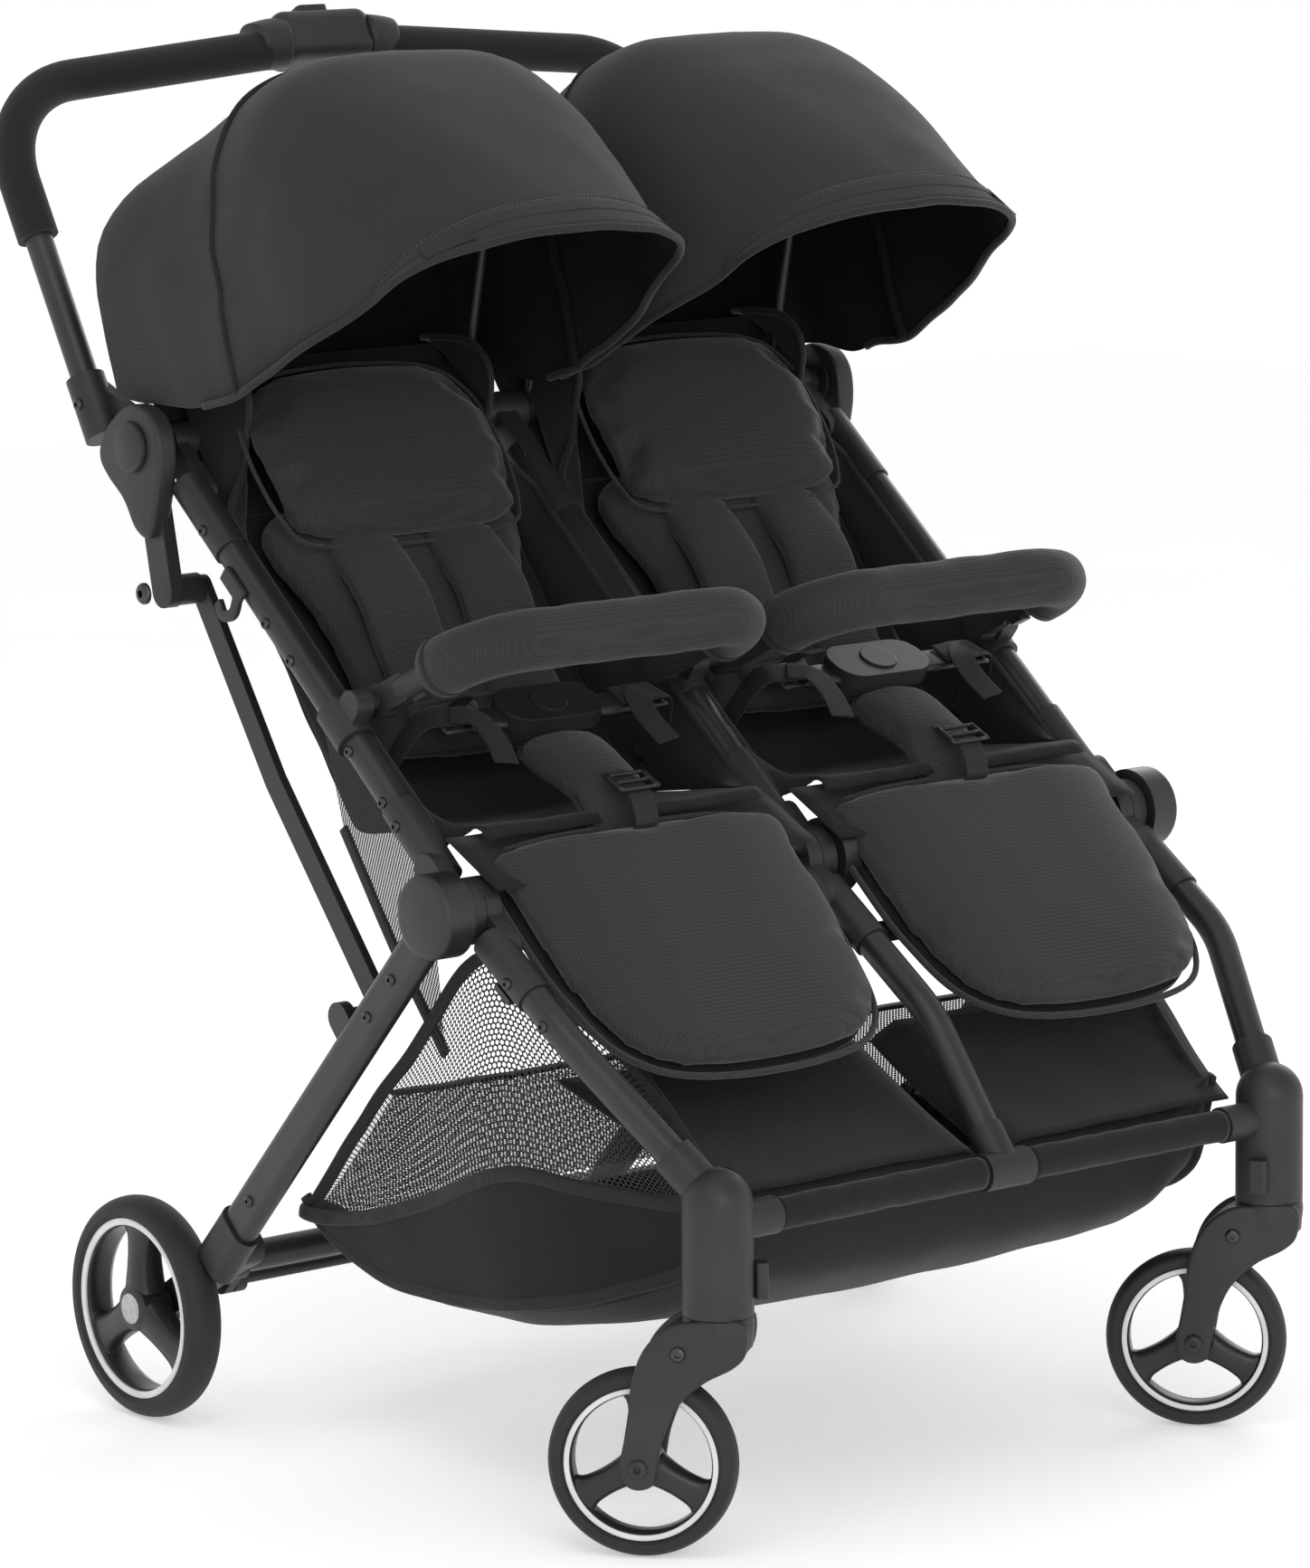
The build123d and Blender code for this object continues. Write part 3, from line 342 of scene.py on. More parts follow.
def inflate(obj, voxel, cap):
    """Swells a closed mesh as stuffed cloth, no point further than cap, and smooths it."""
    material = obj.data.materials[0]
    remesh = obj.modifiers.new("Even", "REMESH")
    remesh.mode = "VOXEL"
    remesh.voxel_size = voxel
    settle(obj)
    rest = [v.co.copy() for v in obj.data.vertices]
    cloth = obj.modifiers.new("Cloth", "CLOTH")
    cloth.settings.use_pressure = True
    cloth.settings.uniform_pressure_force = PRESSURE
    cloth.settings.quality = 4
    cloth.settings.effector_weights.gravity = 0
    cloth.point_cache.frame_start = 1
    cloth.point_cache.frame_end = 20
    for f in range(1, 21):
        bpy.context.scene.frame_set(f)
    settle(obj)
    bpy.context.scene.frame_set(1)
    for v, r in zip(obj.data.vertices, rest):
        move = v.co - r
        if move.length > cap:
            v.co = r + move.normalized() * cap
    relax(obj, 2)
    obj.modifiers.new("Smooth", "SUBSURF").levels = 1
    settle(obj)
    obj.data.materials.clear()
    obj.data.materials.append(material)
    obj.data.polygons.foreach_set("use_smooth", [True] * len(obj.data.polygons))
    return obj


def relax(obj, times):
    bm = bmesh.new()
    bm.from_mesh(obj.data)
    for _ in range(times):
        bmesh.ops.smooth_vert(bm, verts=bm.verts, factor=0.5, use_axis_x=True, use_axis_y=True,
                              use_axis_z=True)
    bm.to_mesh(obj.data)
    bm.free()


# ---- materials ----
class Shader:
    """Short way to build one material's nodes."""

    def __init__(self, name):
        self.material = bpy.data.materials.new(name)
        self.material.use_nodes = True
        self.tree = self.material.node_tree
        self.bsdf = self.tree.nodes["Principled BSDF"]

    def add(self, kind, **values):
        new = self.tree.nodes.new(kind)
        for key, value in values.items():
            setattr(new, key, value)
        return new

    def join(self, a, b):
        self.tree.links.new(a, b)

    def set(self, **values):
        for key, value in values.items():
            self.bsdf.inputs[key.replace("_", " ")].default_value = value

    def coords(self, kind="Object"):
        return self.add("ShaderNodeTexCoord").outputs[kind]

    def noise(self, scale, detail=3.0):
        texture = self.add("ShaderNodeTexNoise")
        texture.inputs["Scale"].default_value = scale
        texture.inputs["Detail"].default_value = detail
        self.join(self.coords(), texture.inputs["Vector"])
        return texture.outputs["Fac"]

    def ramp(self, value, low, high):
        ramp = self.add("ShaderNodeValToRGB")
        for end, place, colour in zip(ramp.color_ramp.elements, (0.3, 0.7), (low, high)):
            end.position = place
            end.color = (*colour, 1.0)
        self.join(value, ramp.inputs["Fac"])
        return ramp.outputs["Color"]

    def math(self, kind, a, b=None):
        op = self.add("ShaderNodeMath", operation=kind)
        for socket, value in zip(op.inputs, (a, b)):
            if value is None:
                continue
            if isinstance(value, (int, float)):
                socket.default_value = value
            else:
                self.join(value, socket)
        return op.outputs[0]

    def bump(self, height, strength, distance, rounded=0.0):
        bump = self.add("ShaderNodeBump")
        bump.inputs["Strength"].default_value = strength
        bump.inputs["Distance"].default_value = distance
        self.join(height, bump.inputs["Height"])
        if rounded:
            bevel = self.add("ShaderNodeBevel", samples=4)
            bevel.inputs["Radius"].default_value = rounded
            self.join(bevel.outputs["Normal"], bump.inputs["Normal"])
        self.join(bump.outputs["Normal"], self.bsdf.inputs["Normal"])

    def tint(self, value, low, high):
        """Base colour from low to high as value goes from dark to light."""
        self.join(self.ramp(value, low, high), self.bsdf.inputs["Base Color"])

    def vary_roughness(self, value, low, high):
        self.join(self.ramp(value, (low,) * 3, (high,) * 3), self.bsdf.inputs["Roughness"])


def threads(sh, period, kind="Object", flat=False):
    """Height of a plain weave: sets of ribs that cross, two on a flat cloth and three on a form."""
    vector = sh.coords(kind=kind)
    sets = []
    for direction in ("X", "Y") if flat else ("X", "Y", "Z"):
        wave = sh.add("ShaderNodeTexWave", bands_direction=direction)
        wave.inputs["Scale"].default_value = pi / (10 * period)
        wave.inputs["Distortion"].default_value = 0.6
        wave.inputs["Detail"].default_value = 1.0
        wave.inputs["Detail Scale"].default_value = 4.0
        sh.join(vector, wave.inputs["Vector"])
        sets.append(wave.outputs["Fac"])
    height = sh.math("MULTIPLY", sets[0], sets[1])
    if not flat:
        height = sh.math("ADD", height, sh.math("MULTIPLY", sets[2], 0.6))
    return height


def cloth_material(name, low, high, rough, period, flat, sheen, depth):
    sh = Shader(name)
    height = threads(sh, period, "UV" if flat else "Object", flat)
    yarn = sh.noise(900, 2.0)
    cloud = sh.noise(9, 4.0)
    uneven = sh.math("ADD", sh.math("MULTIPLY", yarn, 0.35), sh.math("MULTIPLY", cloud, 0.30))
    shade = sh.math("ADD", sh.math("MULTIPLY", height, 0.35), uneven)
    sh.tint(shade, low, high)
    sh.vary_roughness(cloud, rough - 0.05, rough + 0.05)
    sh.set(Sheen_Weight=sheen, Sheen_Roughness=0.45, Specular_IOR_Level=0.25)
    sh.bsdf.inputs["Sheen Tint"].default_value = (0.75, 0.75, 0.8, 1.0)
    sh.bump(sh.math("ADD", height, yarn), 0.55, depth)
    return sh.material


def powder_coat():
    sh = Shader("powder_coat")
    grain = sh.noise(1400, 2.0)
    wear = sh.noise(14, 5.0)
    sh.tint(wear, (0.0125, 0.0125, 0.0135), (0.021, 0.021, 0.0225))
    sh.vary_roughness(wear, 0.33, 0.43)
    sh.set(Specular_IOR_Level=0.5)
    sh.bump(grain, 0.14, 0.0002, 0.0006)
    return sh.material


def moulded(name, low, high, rough):
    sh = Shader(name)
    grain = sh.noise(1100, 2.0)
    cloud = sh.noise(11, 4.0)
    sh.tint(cloud, low, high)
    sh.vary_roughness(cloud, rough - 0.05, rough + 0.06)
    sh.set(Specular_IOR_Level=0.42)
    sh.bump(grain, 0.28, 0.0002, 0.0011)
    return sh.material


def foam():
    sh = Shader("grip_foam")
    pores = sh.add("ShaderNodeTexVoronoi")
    pores.inputs["Scale"].default_value = 900
    sh.join(sh.coords(), pores.inputs["Vector"])
    cloud = sh.noise(13, 4.0)
    sh.tint(cloud, (0.0080, 0.0080, 0.0084), (0.014, 0.014, 0.0144))
    sh.vary_roughness(cloud, 0.72, 0.84)
    sh.set(Sheen_Weight=0.10, Sheen_Roughness=0.5, Specular_IOR_Level=0.25)
    sh.bump(sh.math("ADD", pores.outputs["Distance"], sh.noise(2200, 1.0)), 0.4, 0.0003)
    return sh.material


def rubber():
    sh = Shader("tyre_rubber")
    grain = sh.noise(1500, 2.0)
    cloud = sh.noise(20, 4.0)
    sh.tint(cloud, (0.011, 0.011, 0.011), (0.020, 0.020, 0.020))
    sh.vary_roughness(cloud, 0.55, 0.70)
    sh.set(Specular_IOR_Level=0.4)
    sh.bump(grain, 0.22, 0.0002)
    return sh.material


def plain_metal(name, low, high, rough):
    sh = Shader(name)
    brushed = sh.noise(260, 3.0)
    sh.tint(brushed, low, high)
    sh.vary_roughness(brushed, rough, rough + 0.1)
    sh.set(Metallic=1.0)
    sh.bump(brushed, 0.05, 0.0002)
    return sh.material


def pale_ring():
    sh = Shader("pale_ring")
    cloud = sh.noise(40, 3.0)
    sh.tint(cloud, (0.62, 0.62, 0.62), (0.74, 0.74, 0.74))
    sh.vary_roughness(cloud, 0.25, 0.34)
    sh.bump(sh.noise(700, 2.0), 0.05, 0.0002)
    return sh.material


def net(name, cell, hole, low, high):
    """Open warp-knit net: round holes in staggered rows, laid on the cloth's own flat plane."""
    pitch = 0.8660254
    sh = Shader(name)
    vector = sh.coords(kind="UV")
    split = sh.add("ShaderNodeSeparateXYZ")
    sh.join(vector, split.inputs[0])
    u = sh.math("DIVIDE", split.outputs["X"], cell)
    v = sh.math("DIVIDE", split.outputs["Y"], cell * pitch)
    row = sh.math("FLOOR", v)
    shift = sh.math("MULTIPLY", sh.math("MODULO", row, 2.0), 0.5)
    a = sh.math("SUBTRACT", sh.math("FRACT", sh.math("ADD", u, shift)), 0.5)
    b = sh.math("MULTIPLY", sh.math("SUBTRACT", sh.math("FRACT", v), 0.5), pitch)
    away = sh.math("SQRT", sh.math("ADD", sh.math("MULTIPLY", a, a), sh.math("MULTIPLY", b, b)))
    solid = sh.math("GREATER_THAN", away, hole)
    yarn = sh.noise(1200, 2.0)
    sh.tint(yarn, low, high)
    sh.vary_roughness(yarn, 0.6, 0.75)
    sh.set(Specular_IOR_Level=0.3)
    sh.join(solid, sh.bsdf.inputs["Alpha"])
    sh.bump(sh.math("ADD", away, yarn), 0.4, 0.0004)
    return sh.material


COAT = powder_coat()
MOULDING = moulded("moulding", (0.0145, 0.0145, 0.0155), (0.026, 0.026, 0.0275), 0.48)
GLOSSY = moulded("smooth_moulding", (0.012, 0.012, 0.013), (0.022, 0.022, 0.023), 0.33)
FOAM = foam()
RUBBER = rubber()
STEEL = plain_metal("zinc_steel", (0.35, 0.35, 0.36), (0.52, 0.52, 0.53), 0.28)
DARK_STEEL = plain_metal("black_steel", (0.05, 0.05, 0.052), (0.09, 0.09, 0.095), 0.3)
PALE = pale_ring()
CANOPY = cloth_material("canopy_cloth", (0.021, 0.021, 0.0226), (0.036, 0.036, 0.0379), 0.86, 0.0016, True,
                        0.15, 0.00025)
# Darker copy of the canopy cloth for the inner faces of the hoods: painted shade.
INSIDE_SHADE_CLOTH = cloth_material("canopy_cloth_painted_shade", (0.0035, 0.0035, 0.0038), (0.008, 0.008, 0.0084), 0.9, 0.0016, True,
                        0.0, 0.00025)
SEAT = cloth_material("seat_cloth", (0.021, 0.021, 0.0224), (0.036, 0.036, 0.0384), 0.86, 0.0024, False,
                      0.25, 0.0003)
BODY = cloth_material("seat_body_cloth", (0.008, 0.008, 0.0086), (0.018, 0.018, 0.019), 0.80, 0.0018, True,
                      0.15, 0.0003)
TWILL = cloth_material("bar_cover", (0.019, 0.019, 0.0205), (0.034, 0.034, 0.036), 0.84, 0.0022, False,
                       0.2, 0.0003)
BINDING = cloth_material("binding", (0.011, 0.011, 0.012), (0.022, 0.022, 0.0235), 0.68, 0.0011, False,
                         0.15, 0.0003)
WEBBING = cloth_material("webbing", (0.009, 0.009, 0.010), (0.020, 0.020, 0.0215), 0.62, 0.0013, False,
                         0.1, 0.0004)
NET = net("basket_net", 0.0046, 0.36, (0.016, 0.016, 0.017), (0.034, 0.034, 0.036))
FINE_NET = net("fine_net", 0.0032, 0.26, (0.014, 0.014, 0.015), (0.030, 0.030, 0.032))

NODE_MATERIALS = {
    COAT: ("rear_legs", "rear_cross_tube", "front_legs", "front_brace", "front_cross_tube", "seat_tubes",
           "handle_tube", "canopy_bow_left", "canopy_bow_right"),
    STEEL: ("rear_axles", "hub_shaft", "upper_hinge_pins"),
    FOAM: ("handle_grips",),
    GLOSSY: ("buckles", "buckle_button_left", "buckle_button_right", "latch_button"),
}


def finish_cad():
    chosen = {node: material for material, nodes in NODE_MATERIALS.items() for node in nodes}
    for name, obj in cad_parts.items():
        material = chosen.get(name, MOULDING)
        if not obj.material_slots:
            obj.data.materials.append(material)
        for place in obj.material_slots:
            place.material = material


# ---- hoods ----
HOOD_MID = 0.169
HOOD_HALF = 0.164
CROWN = [(0.246, 0.803), (0.270, 0.850), (0.288, 0.900), (0.288, 0.942), (0.256, 0.981), (0.200, 1.020),
         (0.150, 1.050), (0.100, 1.066), (0.050, 1.052), (0.000, 1.029), (-0.060, 0.995), (-0.112, 0.960),
         (-0.136, 0.941)]
HEM = [(0.244, 0.800), (0.232, 0.798), (0.218, 0.797), (0.200, 0.797), (0.182, 0.797), (0.164, 0.796),
       (0.140, 0.796), (0.115, 0.801), (0.085, 0.811), (0.050, 0.829), (0.010, 0.851), (-0.030, 0.874),
       (-0.062, 0.896)]
SEAM_ROW = 0.52


def hood_rows(side, rows=49, across=61):
    """Rows of points over one hood, from the back edge to the rim, each from the outer hem to the inner."""
    crown = spline([(0, *p) for p in CROWN], rows)
    hem = spline([(0, *p) for p in HEM], rows)
    out = []
    for j in range(rows):
        v = j / (rows - 1)
        front = smooth((v - 0.55) / 0.45)
        back = smooth((0.10 - v) / 0.10)
        boxy = smooth((v - 0.14) / 0.36)
        pinch = 1 - 0.17 * front ** 2.2
        row = []
        for i in range(across):
            a = pi * i / (across - 1)
            c, s = cos(a), sin(a)
            power = mix(mix(0.22, 0.64, boxy) if c > 0 else 0.46, 0.95, front ** 1.4)
            lift_power = mix(mix(0.13, 0.60, boxy) if c > 0 else 0.50, 0.92, front ** 1.4)
            x = HOOD_MID + HOOD_HALF * pinch * (1 if c > 0 else -1) * abs(c) ** mix(power, 1.0, back)
            lift = abs(s) ** lift_power
            y = mix(hem[j].y, crown[j].y, lift)
            z = mix(hem[j].z, crown[j].z, lift)
            tension = 0.006 * sin(pi * max((v - SEAM_ROW) / (1 - SEAM_ROW), 0))
            tension += 0.004 * sin(pi * min(v / SEAM_ROW, 1))
            z -= tension * lift
            row.append(at(side * x, y, z))
        out.append(row)
    return out


def crumple(row_point, amount, scale, seed):
    """Small soft folds."""
    p = row_point * scale + Vector((seed * 13.1, seed * 7.7, seed * 3.3))
    shifts = (Vector((0, 0, 0)), Vector((31, 0, 0)), Vector((0, 57, 0)))
    return Vector([noise.noise(p + shift) for shift in shifts]) * amount


def hoods():
    for side, word in SIDES:
        rows = hood_rows(side)
        count, wide = len(rows), len(rows[0])
        for j in range(count):
            v = j / (count - 1)
            for i in range(wide):
                u = i / (wide - 1)
                edge = min(u, 1 - u)
                near_hinge = max(0.0, 1 - edge / 0.22) * smooth(1 - abs(v - 0.45) / 0.4)
                rows[j][i] += crumple(rows[j][i], 0.0012 + 0.0035 * near_hinge, 26, side + 3)
        skin = grid(f"hood_cloth_{word}", rows, CANOPY, 0.0012, 1.0)
        # The inner faces of the hood take the darker copy of the cloth: painted shade.
        paint_inside_shade(skin, at(side * HOOD_MID, 0.08, 0.86))
        declare_sheet(skin, rows)
        for piece in [skin] + hood_trims(word, rows):
            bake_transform(piece)
        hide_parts(f"canopy_rear_{word}", f"canopy_front_{word}")


def paint_inside_shade(skin, centre):
    """Gives the faces that look towards the centre a darker copy of the canopy cloth: painted shade inside
    the hood.
    """
    skin.data.materials.append(INSIDE_SHADE_CLOTH)
    for face in skin.data.polygons:
        face.material_index = int(face.normal.dot(centre - face.center) > 0)


def surface_normal(rows, j, i):
    """Outward normal of the cloth at one of its points."""
    a = rows[min(j + 1, len(rows) - 1)][i] - rows[max(j - 1, 0)][i]
    b = rows[j][min(i + 1, len(rows[0]) - 1)] - rows[j][max(i - 1, 0)]
    n = a.cross(b).normalized()
    middle = rows[len(rows) // 2][len(rows[0]) // 2]
    centre = Vector((middle.x, middle.y, middle.z - 0.15))
    return n if n.dot(rows[j][i] - centre) > 0 else -n


def hood_trims(word, rows):
    """Rim band, edge roll, seam, bow pocket, stitches and blank tag of one hood."""
    count, wide = len(rows), len(rows[0])
    band_rows = even_columns(rows, 0.945, 1.0, 6)
    band = [[p + surface_normal(band_rows, j, i) * 0.0016 for i, p in enumerate(row)]
            for j, row in enumerate(band_rows)]
    out = [grid(f"hood_rim_band_{word}", band, CANOPY, 0.0014)]
    first = int(count * 0.36)
    edge = [row[0] for row in rows[first:]] + rows[-1] + [row[-1] for row in rows[:first:-1]]
    out.append(sweep(f"hood_edge_roll_{word}", even(edge, 150), circle(0.0032, 10), BINDING))
    seam_row = int(SEAM_ROW * (count - 1))
    normals = [surface_normal(rows, seam_row, i) for i in range(wide)]
    seam = [p + n * 0.0011 for p, n in zip(rows[seam_row], normals)]
    out.append(sweep(f"hood_seam_{word}", even(seam, 90), oval(0.0065, 0.0013, 0.6, 10), CANOPY,
                     normals[wide // 2]))
    pocket = [p - n * 0.0045 for p, n in zip(rows[seam_row], normals)]
    # The bow pocket takes the darker inner copy of the cloth: painted shade.
    out.append(sweep(f"hood_bow_pocket_{word}", even(pocket, 90), circle(0.0048, 10), INSIDE_SHADE_CLOTH))
    for k, share in enumerate((0.948, 0.972)):
        stitch_row = even_columns(rows, share, share + 0.001, 2)
        points = [p + surface_normal(stitch_row, 0, i) * 0.0027 for i, p in enumerate(stitch_row[0])]
        out.append(stitches(f"hood_rim_stitches_{k}_{word}", even(points, 400), 0.00045, BINDING))
    tag_at = int(wide * 0.24)
    n = surface_normal(band_rows, 2, tag_at)
    along = (band_rows[2][tag_at + 1] - band_rows[2][tag_at]).normalized()
    up = along.cross(n).normalized()
    middle = band_rows[3][tag_at] + n * 0.0030
    turn = Matrix((along, n, up)).transposed()
    out.append(block(f"hood_tag_{word}", middle, (0.040, 0.0010, 0.014), turn, BINDING, 0.0004))
    return out


def even_columns(rows, low, high, count):
    """Rows resampled along each column between two shares of its rows."""
    last = len(rows) - 1
    out = []
    for k in range(count):
        v = mix(low, high, k / (count - 1)) * last
        j = min(int(v), last - 1)
        out.append([rows[j][i].lerp(rows[j + 1][i], v - j) for i in range(len(rows[0]))])
    return out


def stitches(name, line, radius, material):
    """Broken line of stitches."""
    return join(name, [sweep(f"{name}_{k}", line[k:k + 3], circle(radius, 5), material)
                       for k in range(0, len(line) - 3, 4)])


def folds_flat(piece):
    """Gives a piece its own copy of its mesh; the real seat cloth flattens towards the seat tubes as the
    frame folds, which is not modelled here.
    """
    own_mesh(piece)
    return piece


def on_seat(piece, slot="webbing"):
    """Puts a soft piece on the seat frame, with its own copy of its mesh."""
    return mounted(folds_flat(piece), "seat_frame", slot)


def on_backrest(piece, word, *nodes):
    return mounted(folds_flat(piece), f"backrest_{word}", "seat_cloth", *nodes)


def back_point(along, lift=0.0):
    return polar(polar(BIGHT, BACK_ANGLE, along), BACK_ANGLE + pi / 2, lift)


def seat_path():
    """Middle line of the seat: front lip, pan, bend and backrest."""
    return [(-0.172, 0.500), (-0.163, 0.508), (-0.130, 0.503), (-0.070, 0.494), (-0.022, 0.488),
            back_point(-0.012, -0.002), back_point(0.03, -0.002), back_point(0.11, -0.003),
            back_point(0.20, -0.003), back_point(0.262, -0.003)]


def seats():
    for side, word in SIDES:
        mid = side * SEAT_MID_X
        path = spline([(0, *p) for p in seat_path()], 60)
        rows = []
        for k, p in enumerate(path):
            row = []
            for i in range(41):
                u = -1 + 2 * i / 40
                sag = 0.006 * (1 - u * u) * smooth(k / 8)
                x = mid + u * SEAT_HALF
                fold = crumple(Vector((x, p.y, p.z)), 0.0012, 30, side + 5)
                row.append(at(x, p.y + 0.3 * sag, p.z - sag) + fold)
            rows.append(row)
        liner = grid(f"seat_liner_{word}", rows, BODY, 0.002, -1.0)
        declare_sheet(liner, rows)
        mounted(folds_flat(liner), "seat_frame", "seat_cloth", f"seat_sling_{word}")
        for k in (-1, 1):
            side_wall(side, word, mid, k, path)
        upper_back(word, mid)


def side_wall(side, word, mid, k, path):
    """Cloth wall from the edge of the seat up to its tube, with a bound top edge."""
    outer = k * side > 0
    tube_x = SEAT_X - 0.0135 if outer else 0.0135
    name = f"seat_wall_{'outer' if outer else 'inner'}_{word}"
    top_line = [along_seat(0.060, 0.004), along_seat(0.12, 0.004), along_seat(0.22, 0.002),
                along_seat(0.33, 0.002), along_seat(0.41, 0.004), along_seat(0.45, 0.022), (0.146, 0.800),
                (0.165, 0.824), (0.200, 0.828), (0.236, 0.826)]
    tops = spline([(0, *p) for p in top_line], 60)
    lows = even(path[2:] + [Vector((0, 0.188, 0.768)), Vector((0, 0.222, 0.820))], 60)
    rows = []
    for j, (top, low) in enumerate(zip(tops, lows)):
        row = []
        for i in range(15):
            t = i / 14
            top_x = side * tube_x - k * 0.031 * smooth((j - 37) / 6)
            x = mix(top_x, mid + k * SEAT_HALF, smooth(t) ** 0.8)
            bulge = 0.010 * sin(pi * t) * (0.4 + 0.6 * sin(pi * j / 59))
            y, z = mix(top.y, low.y, t), mix(top.z, low.z, t)
            fold = crumple(Vector((x, y, z)), 0.0022 * sin(pi * t), 22, k + 9)
            row.append(at(x - k * bulge * 0.7, y, z) + fold)
        rows.append(row)
    wall = grid(name, rows, BODY, 0.0016)
    declare_sheet(wall, rows)
    on_seat(wall, "seat_cloth")
    edge = sweep(f"{name}_binding", even([row[0] for row in rows], 80), circle(0.0030, 8), BINDING)
    on_seat(edge, "seat_cloth")


def upper_back(word, mid):
    """Cloth from the top of the backrest up into the hood."""
    low, high = back_point(0.258, -0.004), (0.224, 0.822)
    rows = []
    for j in range(16):
        t = j / 15
        y = mix(low[0], high[0], t) + 0.012 * sin(pi * t)
        z = mix(low[1], high[1], t)
        half = mix(0.136, 0.160, t)
        rows.append([at(mid + half * (-1 + i / 12), y, z) for i in range(25)])
    panel = grid(f"seat_upper_back_{word}", rows, BODY, 0.0016)
    declare_sheet(panel, rows)
    on_seat(panel, "seat_cloth")


def pad_mesh(name, outline, thick, crown, place, material, rings=9, lean=None):
    """Closed cushion over an outline (u, v): thick at its edge, plus crown in the middle."""
    count = len(outline)
    cu = sum(p[0] for p in outline) / count
    cv = sum(p[1] for p in outline) / count
    verts, faces = [], []
    for sign, swell in ((1, crown), (-1, crown * 0.25)):
        for ring in range(rings):
            t = 1 - ring / rings
            rise = sign * (thick / 2 + swell * (1 - t ** 2.4))
            for u, v in outline:
                pu, pv = cu + (u - cu) * t, cv + (v - cv) * t
                verts.append(place @ Vector((pu, pv, rise + (lean(pu, pv) if lean else 0.0))))
        top = sign * (thick / 2 + swell) + (lean(cu, cv) if lean else 0.0)
        verts.append(place @ Vector((cu, cv, top)))
    half = rings * count + 1
    for base in (0, half):
        for i in range(count):
            n = (i + 1) % count
            for low in range(base, base + (rings - 1) * count, count):
                faces.append((low + i, low + n, low + count + n, low + count + i))
            last = base + (rings - 1) * count
            faces.append((last + i, last + n, base + rings * count))
    faces += [(i, half + i, half + (i + 1) % count, (i + 1) % count) for i in range(count)]
    return outward(make(name, verts, faces, material))


def placed(x, point, angle):
    """Local frame on a plane in the side profile: u across, v along the angle, w out of its face."""
    along = Vector((0, cos(angle), sin(angle)))
    across = Vector((1, 0, 0))
    out = across.cross(along)
    turn = Matrix((across, along, out)).transposed().to_4x4()
    return Matrix.Translation(at(x, *point)) @ turn


def closed(points, count):
    """Closed smooth outline through (u, v) points."""
    ring = [Vector((p[0], p[1], 0)) for p in points]
    fine = curve_through(ring[-1:] + ring + ring[:2], 20)
    return [(p.x, p.y) for p in even(fine + fine[:1], count + 1)[:-1]]


def piping(name, outline, place, level, radius, material, lean=None):
    line = [place @ Vector((u, v, level + (lean(u, v) if lean else 0.0))) for u, v in outline]
    line.append(line[0])
    return sweep(name, line, circle(radius, 8), material, caps=False)


def sewn(obj, place, lines, width, depth):
    """Presses sewn channels into a pad: each line is ((u0, v0), (u1, v1)) in the pad's plane."""
    back = place.inverted()
    for v in obj.data.vertices:
        p = back @ v.co
        if p.z < 0:
            continue
        pull = 0.0
        for (u0, v0), (u1, v1) in lines:
            du, dv = u1 - u0, v1 - v0
            t = min(max(((p.x - u0) * du + (p.y - v0) * dv) / (du * du + dv * dv), 0), 1)
            away = hypot(p.x - u0 - du * t, p.y - v0 - dv * t)
            pull = max(pull, depth * (1 - smooth(away / width)))
        v.co = place @ (p - Vector((0, 0, pull)))


def back_pads():
    for side, word in SIDES:
        mid = side * SEAT_MID_X
        place = placed(mid, back_point(0.012, 0.013), BACK_ANGLE)
        outline = closed([(-0.088, 0.004), (0.088, 0.004), (0.100, 0.03), (0.104, 0.12), (0.110, 0.235),
                          (-0.110, 0.235), (-0.104, 0.12), (-0.100, 0.03)], 72)
        pad = inflate(pad_mesh(f"back_cushion_{word}", outline, 0.014, 0.006, place, SEAT), 0.0055, 0.008)
        sewn(pad, place, [((-0.045, 0.02), (-0.045, 0.23)), ((0.045, 0.02), (0.045, 0.23)),
                          ((-0.10, 0.075), (0.10, 0.075))], 0.012, 0.004)
        on_backrest(pad, word, f"back_pad_{word}")
        head = placed(mid, back_point(0.201, 0.0385), BACK_ANGLE)
        outline = closed([(-0.092, 0.000), (0.0, -0.006), (0.092, 0.000), (0.113, 0.022), (0.120, 0.075),
                          (0.112, 0.122), (0.080, 0.150), (0.0, 0.158), (-0.080, 0.150), (-0.112, 0.122),
                          (-0.120, 0.075), (-0.113, 0.022)], 90)
        pillow = inflate(pad_mesh(f"head_pillow_{word}", outline, 0.014, 0.008, head, SEAT), 0.0055, 0.010)
        on_backrest(pillow, word, f"head_pad_{word}")
        edge = piping(f"head_piping_{word}", outline, head, 0.0, 0.0016, SEAT)
        on_backrest(edge, word)


def droop(u, v):
    """How far a crotch pad drops below its plane, over the seat's front edge and at its sides."""
    return -1.5 * max(0.0, 0.02 - v) ** 1.25 - 4.8 * u * u


def curl(u, _):
    """How far a footrest's sides drop below its plane."""
    return -1.8 * max(0.0, abs(u) - 0.06) ** 2


CROTCH_TILT = atan2(BUCKLE[1] - CROTCH_END[1], BUCKLE[0] - CROTCH_END[0])


